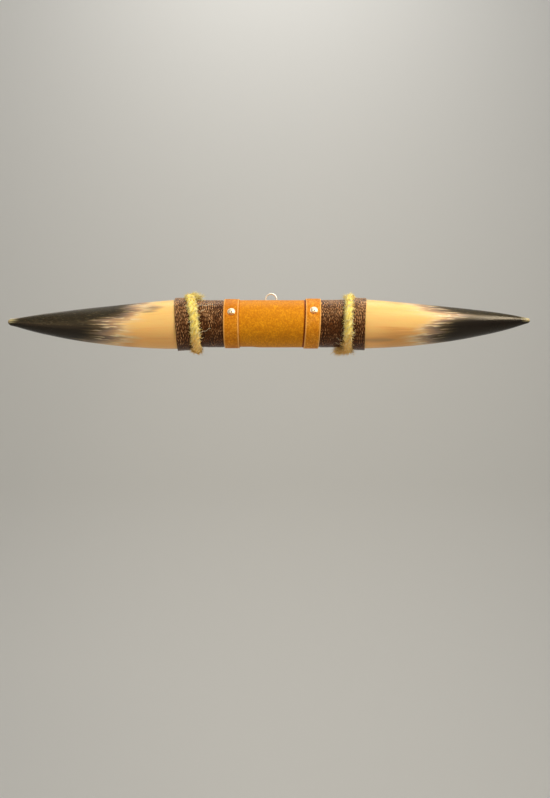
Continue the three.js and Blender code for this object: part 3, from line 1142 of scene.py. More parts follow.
@dataclass
class Sleeve(LeatherTube):
    """Brown leather from under the strap to the cuff over the horn's base."""

    finish: GrainedLeather = GrainedLeather()
    cuff_end: float = 113.0
    edge_round: float = 0.5
    pared_from: float = 0.5
    pared_to: float = 2.5
    spacing: float = 0.55
    ridge_gap: float = 2.0
    pebble_length: float = 1.9
    pebble_width: float = 4.4
    pebble: float = 0.62
    wrinkle: float = 0.3
    rope_reach: float = 9.0
    warp: Sequence[Swell] = (Swell(3.0, 12.0, 8.0), Swell(0.7, 3.0, 4.0))
    patches: Swell = Swell(0.15, 6.0, 6.0)
    folds: Sequence[Swell] = (Swell(1.0, 3.2, 14.0), Swell(0.7, 9.0, 5.0))
    bulge: Swell = Swell(0.25, 30.0, 30.0)
    waver_reach: float = 8.0
    edge_waver: Swell = Swell(0.45, 1.0, 24.0)

    def profile(self) -> tuple[Array, Array]:
        """Outer and inner corners of the sleeve.

        Returns:
            Two lists of x and radius.
        """
        side = self.side
        x = np.arange(side.joint_x, self.cuff_end, self.spacing)
        pared = ease(x, side.strap_edge() + self.pared_from, side.strap_edge() + self.pared_to)
        radius = side.strap_seat + (side.sleeve_radius - side.strap_seat) * pared
        radius = radius + (side.cuff_radius - side.sleeve_radius) * cuff_rise(x)
        outside = np.stack([x, radius], axis=-1)
        angles = np.linspace(0.0, QUARTER_TURN, 4)
        rim_x = self.cuff_end - self.edge_round * (1 - np.sin(angles))
        rim_r = side.cuff_radius - self.edge_round * (1 - np.cos(angles))
        outside = np.concatenate([outside[x < rim_x[0] - 0.1], np.stack([rim_x, rim_r], axis=-1)])
        under_cuff = side.base_radius + FIT_GAP
        core = CORE_RADIUS + FIT_GAP
        inside = np.array([[self.cuff_end, under_cuff], [HORN_START - FIT_GAP, under_cuff],
                           [HORN_START - 2 * FIT_GAP, core], [BEND_START, core],
                           [(EASE_START + BEND_START) / 2, core], [EASE_START, core],
                           [side.joint_x, core]])
        return outside, inside

    def build(self) -> bpy.types.Object:
        """Make the mesh.

        Returns:
            The sleeve.
        """
        outside, inside = self.profile()
        side = self.side
        along, across = self.grid(outside[:, 0], side.sleeve_radius)
        grain = Grain(self.seed, FULL_TURN * side.sleeve_radius)
        warp = grain.swell(along, across, *self.warp)
        ridges = 0.5 + 0.5 * np.cos(FULL_TURN * (along + warp) / self.ridge_gap)
        pebbles = grain.pebbles(along + 0.8 * warp, across, self.pebble_length, self.pebble_width)
        tops = 0.55 * ridges + 0.45 * pebbles
        tops = tops * (0.85 + grain.swell(along, across, self.patches))
        folds = grain.swell(along, across, *self.folds)
        near_rope = hump(outside[:, :1], ROPE_X, self.rope_reach)
        relief = self.pebble * (tops - 0.6) + self.wrinkle * folds * (0.35 + 0.65 * near_rope)
        relief = relief + grain.swell(along, across, self.bulge)
        relief = relief + self.seam(self.turns()[None, :], side.sleeve_radius)
        free = ease(outside[:, :1], side.strap_edge(), side.strap_edge() + 2)
        plan = self.sweep(outside, inside, relief * free, {"relief": tops})
        self.waver(plan, len(outside), grain)
        return plan.build(f"sleeve_{side.name}_leather")

    def waver(self, plan: MeshPlan, corners: int, grain: Grain) -> None:
        """Let the hand cut edge of the cuff run a little in and out.

        Args:
            plan: the sleeve's plan, changed in place.
            corners: how many outer corners the profile has.
            grain: the noise to draw from.
        """
        turn = self.turns()
        shift = grain.swell(np.zeros_like(turn), turn * self.side.cuff_radius, self.edge_waver)
        rows = plan.points.reshape(-1, self.columns, 3)
        outside_x = np.abs(rows[:, :, 0] * self.side.sign)
        share = ease(outside_x, self.cuff_end - 1 - self.waver_reach, self.cuff_end - 1)
        share[corners + 1:] = 0
        rows[:, :, 0] += self.side.sign * share * shift[None, :]

    def dress(self, piece: bpy.types.Object) -> None:
        """Give the sleeve its finish and its place."""
        settle(piece, f"sleeve_{self.side.name}", self.finish)


TAN_FINISH = SmoothLeather(name="tan leather", light=paint("f0a21a"), deep=paint("d98a12"),
                           cut_edge_and_painted_shadow=paint("7c2c06"))
STRAP_FINISH = SmoothLeather(name="strap leather", light=paint("f6a628"), deep=paint("d47e16"),
                             cut_edge_and_painted_shadow=paint("f8ba68"), blotch=0.32)


@dataclass
class CentreWrap(LeatherTube):
    """Tan leather round the middle, pared thin under both straps."""

    finish: SmoothLeather = TAN_FINISH
    radius: float = 27.9
    spacing: float = 0.6
    swells: Sequence[Swell] = (Swell(0.14, 26.0, 22.0), Swell(0.05, 5.0, 5.0))
    pebble: float = 0.025
    pebble_size: float = 0.9
    loose_from: float = -26.0
    loose_full: float = -12.0
    slack: float = 0.35
    pull: float = 0.3

    def build(self) -> bpy.types.Object:
        """Make the mesh.

        Returns:
            The wrap.
        """
        low, high = -(LEFT.joint_x - FIT_GAP), RIGHT.joint_x - FIT_GAP
        x = np.arange(low, high + self.spacing / 2, self.spacing)
        left_edge = -(LEFT.strap_x - STRAP_WIDTH / 2)
        right_edge = RIGHT.strap_x - STRAP_WIDTH / 2
        left = ease(x, left_edge - 1.5, left_edge + 0.8)
        right = ease(x, right_edge + 1.5, right_edge - 2.4)
        radius = (self.radius - (self.radius - LEFT.strap_seat) * (1 - left)
                  - (self.radius - RIGHT.strap_seat) * (1 - right))
        outside = np.stack([x, radius], axis=-1)
        core = CORE_RADIUS + FIT_GAP
        inside = np.array([[high, core], [low, core]])
        along, across = self.grid(x, self.radius)
        grain = Grain(self.seed, FULL_TURN * self.radius)
        turn = self.turns()[None, :]
        free = (left * right)[:, None]
        relief = grain.swell(along, across, *self.swells)
        relief = relief + self.pebble * grain.pebbles(along, across, self.pebble_size, self.pebble_size)
        below = turn_gap(turn, -QUARTER_TURN)
        loose = ease(x, self.loose_from, self.loose_full)[:, None]
        relief = relief + self.slack * hump(below, 0.0, 0.9) * loose
        relief = relief - self.pull * (1 - ease(below**2, 0.0, 0.6)) * (1 - loose)
        relief = relief + self.seam(turn, self.radius)
        shift = math.tan(RIGHT.strap_lean) * self.radius * np.sin(turn)
        # Painted shadow: the wrap is marked darker beside the right strap's inner edge, and half as dark
        # beside the left strap's, where the straps cast their shadow.
        gap = ease(x[:, None], right_edge - 2.5 + shift, right_edge - 1.1 + shift)
        gap = gap + 0.5 * ease(x[:, None], left_edge + 1.3, left_edge + 0.4)
        plan = self.sweep(outside, inside, relief * free, {"edge": gap})
        return plan.build("centre_wrap_leather")

    def dress(self, piece: bpy.types.Object) -> None:
        """Give the wrap its finish and its place."""
        settle(piece, "centre_wrap", self.finish)


@dataclass
class Strap(LeatherTube):
    """Tan strap with bevelled pale edges, pressed in round its stud and lapped at the back."""

    finish: SmoothLeather = STRAP_FINISH
    bevel: float = 0.8
    spacing: float = 0.4
    crease_in: float = 2.3
    crease_depth: float = 0.22
    dimple_radius: float = 6.2
    dimple_depth: float = 0.8
    lip: float = 0.12
    swells: Sequence[Swell] = (Swell(0.1, 14.0, 18.0), Swell(0.04, 3.0, 3.0))
    lap_turn: float = math.radians(168)
    lap_length: float = 15.0
    lap_inset: float = 0.15

    def build(self) -> bpy.types.Object:
        """Make the mesh.

        Returns:
            The strap.
        """
        side = self.side
        half = STRAP_WIDTH / 2
        top = side.strap_top()
        angles = np.linspace(0.0, QUARTER_TURN, 5)
        flat = np.arange(-half + self.bevel + self.spacing / 2, half - self.bevel, self.spacing)
        low = np.stack([-half + self.bevel * (1 - np.cos(angles)),
                        top - self.bevel * (1 - np.sin(angles))], -1)
        high = low[::-1] * np.array([-1.0, 1.0])
        outside = np.concatenate([low, np.stack([flat, np.full_like(flat, top)], -1), high])
        offset = outside[:, 0].copy()
        outside[:, 0] += side.strap_x
        inner = side.strap_seat + FIT_GAP
        inside = np.array([[side.strap_x + half, inner], [side.strap_x - half, inner]])
        along, across = self.grid(outside[:, 0], top)
        grain = Grain(self.seed, FULL_TURN * top)
        to_edge = half - np.abs(offset)
        crease = -self.crease_depth * hump(to_edge, self.crease_in, 0.8)[:, None]
        relief = crease + grain.swell(along, across, *self.swells)
        from_stud = offset[:, None] - (side.stud_x - side.strap_x)
        gap = np.hypot(from_stud, turn_gap(self.turns()[None, :], side.stud_elevation) * top)
        relief = relief - self.dimple_depth * np.exp(-((gap / self.dimple_radius) ** 4))
        relief = relief + self.lip * np.exp(-(((gap - self.dimple_radius - 1.4) / 1.6) ** 2))
        pale = np.repeat((1 - ease(to_edge, 0.9, 1.8))[:, None], self.columns, axis=1)
        pale = pale * (0.8 + 0.2 * grain.clouds(along, across, 4.0, 4.0))
        plan = self.sweep(outside, inside, relief, {"edge": pale})
        plan = plan.joined(self.lap(top))
        plan.points[:, 0] += plan.points[:, 2] * math.tan(side.strap_lean)
        return plan.build(f"strap_{side.name}_leather")

    def lap(self, top: float) -> MeshPlan:
        """Outer end of the strap where it laps over itself at the back.

        Args:
            top: the strap's outer radius.

        Returns:
            The plan of the lap.
        """
        steps = 26
        share = np.linspace(0.0, 1.0, steps)
        turn = self.lap_turn + share * self.lap_length / top
        rise = STRAP_THICKNESS * ease(share, 0.0, 0.45) * (1 - 0.35 * ease(share, 0.9, 1.0))
        half = STRAP_WIDTH / 2 - self.lap_inset
        width = half * np.sqrt(1 - 0.55 * ease(share, 0.72, 1.0))
        columns = 12
        across = np.linspace(-1.0, 1.0, columns)
        upper = np.stack([across, 1 - 0.25 * np.abs(across) ** 8], -1)
        lower = np.stack([across[::-1], np.full(columns, -0.25)], -1)
        loop = np.concatenate([upper, lower])
        radius = top - self.lap_inset + rise[:, None] * np.maximum(loop[None, :, 1], -0.1)
        place_x = self.side.strap_x + loop[None, :, 0] * width[:, None]
        outwards = np.stack([np.zeros(steps), -np.cos(turn), np.sin(turn)], -1)
        points = radius[:, :, None] * outwards[:, None, :]
        points[:, :, 0] = self.side.sign * place_x
        pale = np.repeat(ease(np.abs(loop[:, 0]), 0.9, 1.0)[None], steps, axis=0)
        return shell_plan(points, False, self.side.sign > 0, {"edge": pale})

    def dress(self, piece: bpy.types.Object) -> None:
        """Give the strap its finish and its place."""
        settle(piece, f"strap_{self.side.name}", self.finish)


NICKEL_FINISH = BrightMetal(name="nickel", bright=paint("fff4d8"), dull=paint("ecd9ac"), smooth=0.42)
STEEL_FINISH = BrightMetal(name="plated wire", bright=paint("fffaf0"), dull=paint("e6dfd0"), smooth=0.46)


@dataclass
class Stud:
    """Domed stud through a strap: cap with a thin rim, and its shank into the core."""

    side: Side
    finish: BrightMetal = NICKEL_FINISH
    cap_radius: float = 4.5
    cap_height: float = 1.9
    rim: float = 0.5
    shank_radius: float = 1.2
    shank_length: float = 14.0
    dent_offset: float = 1.3
    dent_radius: float = 0.75
    dent_depth: float = 0.5
    sunk: float = 0.45
    columns: int = 96

    def outline(self) -> Array:
        """Outline of the stud, from its point to the top of its cap.

        Returns:
            Radius and height of each corner.
        """
        corners = [(0.05, -self.shank_length), (self.shank_radius, -self.shank_length + 2.5),
                   (self.shank_radius, -0.25), (self.cap_radius - 0.3, -0.25), (self.cap_radius, 0.0),
                   (self.cap_radius, self.rim * 0.6), (self.cap_radius - 0.12, self.rim)]
        lip = self.cap_radius - 0.55
        for angle in np.linspace(0.0, QUARTER_TURN, 30)[:-1]:
            height = self.rim + (self.cap_height - self.rim) * math.sin(angle)
            corners.append((lip * math.cos(angle), height))
        corners.append((0.03, self.cap_height))
        return np.array(corners)

    def build(self) -> bpy.types.Object:
        """Make the mesh.

        Returns:
            The stud.
        """
        side = self.side
        corners = self.outline()
        turn = np.arange(self.columns) * FULL_TURN / self.columns
        out = np.array([0.0, -math.cos(side.stud_elevation), math.sin(side.stud_elevation)])
        first = np.array([1.0, 0.0, 0.0])
        second = np.cross(out, first)
        spread = np.cos(turn)[:, None] * first + np.sin(turn)[:, None] * second
        seat = side.strap_top() - self.sunk
        lean = math.tan(side.strap_lean) * seat * math.sin(side.stud_elevation)
        centre = np.array([side.sign * side.stud_x + lean, 0.0, 0.0])
        points = (centre + (seat + corners[:, 1])[:, None, None] * out
                  + corners[:, 0][:, None, None] * spread[None])
        across = corners[:, :1] * np.cos(turn)[None]
        height = corners[:, :1] * np.sin(turn)[None]
        dent = np.exp(-((np.hypot(across, height + self.dent_offset) / self.dent_radius) ** 2))
        dent = dent * (corners[:, 1:] > self.rim)
        points = points - (self.dent_depth * dent)[..., None] * out
        # Painted reflection: this marks the lower part of the cap for the orange that stands in for the
        # leather's reflection.
        below = ease(height + 0.05 * across**2, -self.dent_offset - 0.5, -self.dent_offset - 1.5)
        plan = shell_plan(points, False, False, {"dent": dent, "painted_reflection": below})
        return plan.build(f"stud_{side.name}_cap", 35.0)

    def dress(self, piece: bpy.types.Object) -> None:
        """Give the stud its finish and its place."""
        settle(piece, f"stud_{self.side.name}", self.finish)


@dataclass(frozen=True)
class Stray:
    """One long loose fibre over the leather, from one place to another."""

    from_x: float
    from_turn: float
    to_x: float
    to_turn: float
    lift: float = 0.8
    wave: float = 0.6
    waves: float = 1.5
    thickness: float = 0.23


@dataclass(frozen=True)
class Tuft:
    """A bunch of loose fibres at one place of a rope."""

    x: float
    turn: float
    towards_tip: float
    count: int
    length: float
    spread: float = 0.7


@dataclass
class RopeTie:
    """Rope tied round a sleeve: three twisted strands under locks of loose fibre, and a frayed end."""

    side: Side
    seed: int
    tail_turn: float
    tail_length: float
    tail_fibres: int
    sway: Sequence[tuple[float, float]]
    tufts: Sequence[Tuft]
    strays: Sequence[Stray]
    finish: RopeFibre = RopeFibre()
    centre_x: float = ROPE_X
    ring_radius: float = 31.9
    half_depth: float = 3.1
    strand_radius: float = 2.2
    strand_sides: int = 14
    tail_radius: float = 2.5
    lay: float = 26.0
    steps: int = 260
    locks: int = 2300
    lock_radius: float = 0.32
    fibres: int = 1000
    fibre_radius: float = 0.12

    def __post_init__(self) -> None:
        """Work out the ring's plane."""
        x = np.array([self.centre_x])
        self.centre = self.side.spine(x)[0]
        along, front, up = self.side.axes(x)
        self.along, self.front, self.up = along[0], front[0], up[0]
        self.draw = np.random.default_rng(self.seed)
        self.twists = round(FULL_TURN * self.ring_radius / self.lay)

    def outwards(self, turn: Array) -> Array:
        """Unit vectors from the ring's centre."""
        return np.cos(turn)[..., None] * self.front + np.sin(turn)[..., None] * self.up

    def swayed(self, turn: Array) -> Array:
        """How far the rope strays along the core.

        Args:
            turn: the angles round the ring.

        Returns:
            The distance towards +X at each angle.
        """
        places = np.radians([t for t, _ in self.sway])
        shifts = np.array([v for _, v in self.sway]) * self.side.sign
        return np.interp(turn, places, shifts, period=FULL_TURN)

    def strand(self, turn: Array, phase: Array) -> Array:
        """Centre line of a strand.

        Args:
            turn: the angles round the ring.
            phase: the strand's own start angle.

        Returns:
            One point for each angle.
        """
        twist = phase + self.twists * turn
        deep = (self.half_depth - self.strand_radius) * 1.15
        wide = self.side.rope_half_width - self.strand_radius
        radius = self.ring_radius + deep * np.cos(twist)
        shift = wide * np.sin(twist) + self.swayed(turn)
        return self.centre + radius[..., None] * self.outwards(turn) + shift[..., None] * self.along

    def strands(self) -> MeshPlan:
        """Three twisted strands round the ring.

        Returns:
            Their plan.
        """
        turn = np.arange(self.steps) * FULL_TURN / self.steps
        phases = np.arange(3) * FULL_TURN / 3
        paths = np.stack([self.strand(turn, np.full_like(turn, p)) for p in phases])
        swell = 1 + 0.06 * np.sin(23 * turn)[None] + 0.05 * self.draw.uniform(-1, 1, (3, self.steps))
        lean = np.repeat(self.along[None], 3, axis=0)
        tints = {"tint": np.array([0.35, 0.45, 0.4])}
        return tube_plan(paths, self.strand_radius * swell, self.strand_sides, True, lean, tints)

    def cover(self, count: int, thickness: float, rise: float, stray: float,
              lengths: tuple[float, float]) -> MeshPlan:
        """Loose fibre that starts on the strands all round.

        Args:
            count: how many fibres there are.
            thickness: their radius at the start.
            rise: how steeply they leave the strands.
            stray: how far they point off the strands' own direction.
            lengths: the shortest and the longest.

        Returns:
            Their plan.
        """
        draw = self.draw
        turn = draw.uniform(0, FULL_TURN, count)
        phase = draw.integers(0, 3, count) * FULL_TURN / 3
        start = self.strand(turn, phase)
        tangent = unit(self.strand(turn + 0.01, phase) - start)
        middle = self.centre + self.ring_radius * self.outwards(turn)
        middle = middle + self.swayed(turn)[:, None] * self.along
        away = unit(start - middle + 0.8 * draw.normal(size=(count, 3)))
        away = unit(away - tangent * np.sum(away * tangent, axis=1, keepdims=True))
        aside = np.cross(away, tangent) * draw.normal(0.0, stray, (count, 1))
        up = (np.abs(draw.normal(0.0, rise, count)) + 0.05)[:, None]
        forward = np.where(draw.random(count) < 0.6, 1.0, -1.0)[:, None]
        direction = unit(tangent * forward + aside + away * up)
        start = start + away * (self.strand_radius - thickness * 0.5)
        length = draw.uniform(*lengths, count)
        return self.fibre_tubes(start, direction, length, thickness, 0.32)

    def fibre_tubes(self, start: Array, direction: Array, length: Array, radius: float,
                    curl: float) -> MeshPlan:
        """Thin curling fibres from their starts.

        Args:
            start: one point a fibre.
            direction: one unit vector a fibre.
            length: one length a fibre.
            radius: thickness at the start.
            curl: how far a fibre bends away, as a share of its length.

        Returns:
            Their plan.
        """
        count = len(start)
        share = np.linspace(0.0, 1.0, 5)
        bend = unit(np.cross(direction, self.draw.normal(size=(count, 3))))
        wave = self.draw.normal(0.0, curl, (count, 1))
        along = share[None, :, None] * (length[:, None, None] * direction[:, None, :])
        aside = (share**2)[None, :, None] * (length[:, None] * wave)[:, :, None] * bend[:, None, :]
        drop = np.array([0.0, 0.0, -0.05]) * (share**2)[None, :, None] * length[:, None, None]
        paths = start[:, None, :] + along + aside + drop
        thin = radius * self.draw.uniform(0.7, 1.3, (count, 1)) * (1 - 0.7 * share**2)[None]
        tint = self.draw.uniform(0.1, 1.0, count)
        return tube_plan(paths, thin, 3, False, bend + 0.31 * direction, {"tint": tint})

    def tail(self) -> MeshPlan:
        """Free end of the rope, which frays out towards the middle.

        Returns:
            Its plan.
        """
        inwards = -self.side.sign * self.along
        out = self.outwards(np.array(self.tail_turn))
        sideways = np.cross(out, inwards)
        steps = 24
        share = np.linspace(0.0, 1.0, steps)
        stretches = self.draw.uniform(0.75, 1.15, 3)
        root = self.centre + out * (self.side.sleeve_radius + self.tail_radius + 1.1)
        root = root + self.swayed(np.array([self.tail_turn]))[0] * self.along
        bodies = []
        for phase, stretch in zip(np.arange(3) * FULL_TURN / 3, stretches):
            twist = phase + share * self.tail_length / self.lay * FULL_TURN
            reach = 1.3 + 0.9 * share**2
            bodies.append(root + inwards * (share * stretch * self.tail_length)[:, None]
                          + out * np.cos(twist)[:, None]
                          + sideways * (reach * np.sin(twist))[:, None])
        paths = np.stack(bodies)
        thick = self.tail_radius * (0.9 - 0.5 * share**2)[None].repeat(3, axis=0)
        lean = np.repeat(out[None], 3, axis=0)
        tints = {"tint": np.array([0.4, 0.5, 0.45])}
        plan = tube_plan(paths, thick, self.strand_sides, False, lean, tints)
        count = self.tail_fibres
        from_share = self.draw.uniform(0.0, 1.0, count) ** 0.7
        picked = paths[self.draw.integers(0, 3, count), (from_share * (steps - 1)).astype(int)]
        spread = unit(self.draw.normal(size=(count, 3)))
        direction = unit(inwards + 0.6 * spread)
        length = self.draw.uniform(2.5, 7.0, count)
        start = picked + spread * self.tail_radius * 0.85
        plan = plan.joined(self.fibre_tubes(start, direction, length, self.lock_radius, 0.3))
        loose = unit(direction + 0.5 * spread)
        return plan.joined(self.fibre_tubes(start, loose, length * 1.1, self.fibre_radius, 0.4))

    def tuft(self, tuft: Tuft) -> MeshPlan:
        """Fibres of one tuft.

        Args:
            tuft: where it is and how it looks.

        Returns:
            Their plan.
        """
        count = tuft.count
        x = np.full(count, tuft.x) + self.draw.normal(0.0, 1.2, count)
        turn = math.radians(tuft.turn) + self.draw.normal(0.0, 0.05, count)
        height = self.side.leather_radius(x) + self.draw.uniform(0.5, 5.5, count)
        start = self.side.point(x, turn, height)
        out = unit(start - self.side.spine(x))
        tip = self.side.sign * self.along
        direction = unit(tuft.towards_tip * tip + 0.25 * out
                         + tuft.spread * self.draw.normal(size=(count, 3)))
        length = tuft.length * self.draw.uniform(0.5, 1.2, count)
        return self.fibre_tubes(start, direction, length, self.fibre_radius * 1.3, 0.5)

    def stray_tubes(self) -> MeshPlan:
        """The long loose fibres.

        Returns:
            Their plan.
        """
        share = np.linspace(0.0, 1.0, 28)
        paths, thick = [], []
        for stray in self.strays:
            x = stray.from_x + (stray.to_x - stray.from_x) * share
            turn = np.radians(stray.from_turn + (stray.to_turn - stray.from_turn) * share)
            sway = stray.wave * np.sin(FULL_TURN * stray.waves * share) * share
            height = self.side.leather_radius(x) + 0.35 + stray.lift * np.sin(math.pi * share)
            paths.append(self.side.point(x + sway * 0.5, turn + sway / 28.0, height))
            thick.append(stray.thickness * (1 - 0.5 * share))
        count = len(paths)
        lean = np.tile(np.array([0.13, 0.4, 0.91]), (count, 1))
        return tube_plan(np.stack(paths), np.stack(thick), 4, False, lean, {"tint": np.full(count, 1.0)})

    def build(self) -> bpy.types.Object:
        """Make the mesh.

        Returns:
            The rope.
        """
        plan = self.strands()
        plan = plan.joined(self.cover(self.locks, self.lock_radius, 0.22, 0.5, (2.2, 5.5)))
        plan = plan.joined(self.cover(self.fibres, self.fibre_radius, 0.7, 0.7, (2.0, 6.0)))
        plan = plan.joined(self.tail()).joined(self.stray_tubes())
        for tuft in self.tufts:
            plan = plan.joined(self.tuft(tuft))
        return plan.build(f"rope_{self.side.name}_fibre", 180.0)

    def dress(self, piece: bpy.types.Object) -> None:
        """Give the rope its finish and its place."""
        settle(piece, f"rope_{self.side.name}", self.finish)


@dataclass
class ScrewEye:
    """Eye bent from one wire, with a threaded shank in the core."""

    finish: BrightMetal = STEEL_FINISH
    centre_height: float = 31.9
    outer_radius: float = 7.8
    wire_radius: float = 1.1
    shank_length: float = 17.0
    pitch: float = 1.6
    thread: float = 0.3
    loop_from: float = math.radians(-76)
    loop_to: float = math.radians(258)

    def build(self) -> bpy.types.Object:
        """Make the mesh.

        Returns:
            The screw eye.
        """
        middle = self.outer_radius - self.wire_radius
        neck = self.centre_height - self.outer_radius
        rise = np.linspace(neck - self.shank_length, neck + 0.35, 150)
        shank = np.stack([np.zeros_like(rise), np.full_like(rise, EYE_BACK), rise], -1)
        angle = np.linspace(self.loop_from, self.loop_to, 110)
        loop = np.stack([middle * np.cos(angle), np.full_like(angle, EYE_BACK),
                         self.centre_height + middle * np.sin(angle)], -1)
        path = np.concatenate([shank, loop])
        sides = 20
        below = neck - 2.0 - path[:, 2]
        is_thread = (np.arange(len(path)) < len(rise)) & (below > 0)
        point = ease(path[:, 2], neck - self.shank_length, neck - self.shank_length + 3.5)
        thin = np.where(np.arange(len(path)) < len(rise), 0.25 + 0.75 * point, 1.0) * self.wire_radius
        plan = tube_plan(path[None], thin[None], sides, False, np.array([[0.0, 1.0, 0.0]]), {})
        rings = plan.points.reshape(-1, sides, 3)
        turn = np.arange(sides) / sides
        phase = (path[:, 2][:, None] / self.pitch + turn[None]) % 1.0
        ridge = self.thread * (1 - np.abs(2 * phase - 1)) * (is_thread * point)[:, None]
        rings += unit(rings - path[:, None, :]) * ridge[:, :, None]
        return plan.build("screw_eye_wire", 60.0)

    def dress(self, piece: bpy.types.Object) -> None:
        """Give the eye its finish and its place."""
        settle(piece, "screw_eye", self.finish)


@dataclass
class Studio:
    """Floor, backdrop, lights and the camera at the photo's angle."""

    focal: float = 620.0
    frame_height: float = 798.0
    distance: float = 744.0
    camera_x: float = 4.8
    camera_drop: float = 90.3
    floor_drop: float = 1.5
    backdrop_y: float = 2.2
    half_width: float = 20.0
    front_y: float = -30.0
    sheet_top: float = 9.0
    bend_radius: float = 1.0
    world_shade: Colour = (0.9, 0.89, 0.86, 1.0)
    world_strength: float = 0.37
    sensor_width: float = 36.0

    def build_sweep(self) -> None:
        """Make one curved sheet that is floor and backdrop."""
        radius = self.bend_radius
        low = CORE_AXIS[2] - self.floor_drop
        angles = np.linspace(0.0, QUARTER_TURN, 24)
        bend_y = self.backdrop_y - radius + radius * np.sin(angles)
        y = np.concatenate([[self.front_y, 0.0], bend_y, [self.backdrop_y]])
        z = np.concatenate([[0.0, 0.0], radius * (1 - np.cos(angles)), [self.sheet_top]]) + low
        points = [(s * self.half_width, a, b) for a, b in zip(y, z) for s in (-1, 1)]
        faces = [(2 * i, 2 * i + 1, 2 * i + 3, 2 * i + 2) for i in range(len(y) - 1)]
        mesh = bpy.data.meshes.new("studio_sweep")
        mesh.from_pydata(points, [], faces)
        mesh.shade_smooth()
        sweep = placed("studio_sweep", mesh)
        coat(sweep, StudioPaint())

    def lamp(self, name: str, place: Triple, size: float, power: float, shade: Triple,
             aim: Triple = (0.0, 0.0, 0.0)) -> None:
        """Add a square soft light.

        Args:
            name: the light's name.
            place: where it hangs, in metres from the middle of the core.
            size: its width in metres.
            power: its power in watts.
            shade: its colour.
            aim: what it faces, in metres from the middle of the core.
        """
        light = bpy.data.lights.new(name, "AREA")
        light.size, light.energy, light.color = size, power, shade
        holder = placed(name, light)
        holder.location = Vector(place) + Vector(CORE_AXIS)
        holder.rotation_mode = "QUATERNION"
        holder.rotation_quaternion = (Vector(place) - Vector(aim)).to_track_quat("Z", "Y")

    def build_light(self) -> None:
        """Make the lights: a warm key from the upper right, a low fill, a back light and a wash."""
        self.lamp("key", (0.64, -0.80, 0.90), 0.5, 17.5, (1.0, 0.9, 0.74))
        self.lamp("fill", (-0.5, -1.6, -0.25), 1.2, 4.2, (1.0, 0.76, 0.5))
        self.lamp("back", (-1.2, 1.0, 0.9), 0.8, 3.0, (1.0, 0.93, 0.82))
        self.lamp("wash", (0.0, 0.9, 2.6), 1.4, 24.0, (1.0, 0.98, 0.95), (0.0, 2.2, -0.6))
        world = bpy.data.worlds.new("studio")
        world.use_nodes = True
        ambient = world.node_tree.nodes["Background"].inputs
        ambient["Color"].default_value = self.world_shade
        ambient["Strength"].default_value = self.world_strength
        bpy.context.scene.world = world
        bpy.context.scene.view_settings.view_transform = "Standard"

    def build_camera(self) -> None:
        """Make the camera at the photo's place, level and square to the wall."""
        data = bpy.data.cameras.new("camera")
        data.sensor_width = self.sensor_width
        data.lens = self.focal / self.frame_height * self.sensor_width
        data.clip_start = 0.05
        camera = placed("camera", data)
        place = np.array([self.camera_x, -self.distance, -self.camera_drop]) * MM + CORE_AXIS
        camera.location = Vector(place)
        camera.rotation_euler = (QUARTER_TURN, 0.0, 0.0)
        bpy.context.scene.camera = camera


HORN_LEFT = HornFinish(
    name="left horn", tip_x=LEFT.tip_x, black_below=-0.12, warm_x=(150.0, 172.0), warm_top=-0.3,
    smudges=((146.0, 0.62, 20.0, 0.22, 0.8),),
    zones=((-1.0, 182.0, 240.0), (-0.8, 174.0, 228.0), (-0.5, 170.0, 222.0), (-0.3, 168.0, 218.0),
           (-0.12, 165.0, 224.0), (0.1, 160.0, 234.0), (0.3, 157.0, 205.0), (0.5, 150.0, 190.0),
           (0.75, 136.0, 184.0), (1.0, 145.0, 186.0)))
HORN_RIGHT = HornFinish(
    name="right horn", tip_x=RIGHT.tip_x, black_below=0.2, warm_x=(118.0, 150.0), warm_top=-0.15,
    smudges=((150.0, 0.93, 16.0, 0.12, 0.35), (176.0, 0.88, 14.0, 0.12, 0.5),
             (128.0, -0.72, 22.0, 0.12, 0.4)),
    zones=((-1.0, 168.0, 212.0), (-0.7, 170.0, 214.0), (-0.5, 172.0, 214.0), (-0.3, 172.0, 214.0),
           (-0.1, 177.0, 220.0), (0.1, 184.0, 226.0), (0.3, 188.0, 250.0), (0.5, 182.0, 262.0),
           (0.65, 165.0, 225.0), (0.85, 160.0, 215.0), (1.0, 165.0, 225.0)))


LEFT_SWAY = ((-150.0, 0.0), (-90.0, -1.2), (-30.0, -0.8), (0.0, -0.6), (22.0, 0.2), (55.0, 2.8),
             (90.0, 2.6), (150.0, 1.0))
RIGHT_SWAY = ((-150.0, 0.5), (-90.0, 1.6), (0.0, 2.0), (80.0, 2.2), (150.0, 1.0))
LEFT_TUFTS = (Tuft(97.0, 56.0, 1.0, 70, 4.5), Tuft(96.5, 64.0, 0.8, 60, 4.5),
              Tuft(96.0, 26.0, 1.0, 26, 3.5), Tuft(84.0, 72.0, -1.0, 70, 6.0),
              Tuft(88.0, -88.0, -0.7, 40, 5.0), Tuft(95.0, -80.0, 0.7, 30, 4.5))
RIGHT_TUFTS = (Tuft(89.0, 76.0, -1.0, 40, 4.5), Tuft(97.0, -84.0, 1.0, 36, 4.5),
               Tuft(88.0, -55.0, -1.0, 36, 4.0), Tuft(98.5, -26.0, 1.0, 20, 3.0))
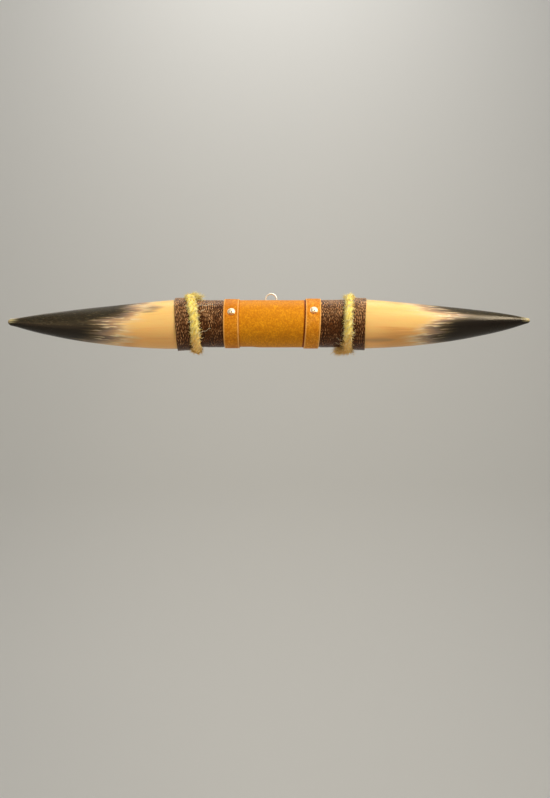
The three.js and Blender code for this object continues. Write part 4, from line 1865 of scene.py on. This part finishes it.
LEFT_STRAYS = (Stray(87.0, 41.0, 65.5, 43.0, 0.5, 2.0, 1.6), Stray(83.0, 22.0, 77.0, 28.0),
               Stray(84.0, -27.0, 70.0, -18.0, 0.6, 1.0), Stray(95.5, 30.0, 102.0, 33.0, 0.8, 1.2),
               Stray(94.0, -36.0, 96.0, -46.0, 1.5, 1.6, 1.0), Stray(84.0, -44.0, 80.0, -40.0),
               Stray(96.0, 60.0, 101.0, 52.0, 1.0, 1.0))
RIGHT_STRAYS = (Stray(97.0, -22.0, 101.5, -30.0, 2.2, 2.6, 1.0),
                Stray(96.0, -30.0, 101.0, -22.0, 1.6, 2.0, 1.2),
                Stray(87.0, -50.0, 79.0, -42.0, 0.8, 1.0), Stray(87.0, -62.0, 77.0, -58.0, 0.8, 1.0),
                Stray(87.0, 70.0, 81.0, 78.0, 1.2, 0.8), Stray(98.0, -92.0, 104.0, -98.0, 1.0, 1.0))


def main() -> None:
    """Build and dress every piece in order, then the studio."""
    logging.basicConfig(level=logging.INFO, format="%(name)s %(message)s")
    coat(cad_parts["wooden_core"], TurnedWood())
    pieces = [
        Horn(LEFT, HORN_LEFT, seed=11),
        Horn(RIGHT, HORN_RIGHT, seed=12),
        CentreWrap(RIGHT, seed=21),
        Sleeve(LEFT, seed=31),
        Sleeve(RIGHT, seed=32),
        Strap(LEFT, seed=41),
        Strap(RIGHT, seed=42),
        Stud(LEFT),
        Stud(RIGHT),
        RopeTie(LEFT, seed=51, tail_turn=math.radians(78), tail_length=5.0, tail_fibres=260,
                sway=LEFT_SWAY, tufts=LEFT_TUFTS, strays=LEFT_STRAYS),
        RopeTie(RIGHT, seed=52, tail_turn=math.radians(-93), tail_length=11.0, tail_fibres=420,
                sway=RIGHT_SWAY, tufts=RIGHT_TUFTS, strays=RIGHT_STRAYS),
        ScrewEye(),
    ]
    for maker in pieces:
        maker.dress(maker.build())
    studio = Studio()
    studio.build_sweep()
    studio.build_light()
    studio.build_camera()


if __name__ == "__main__":
    main()
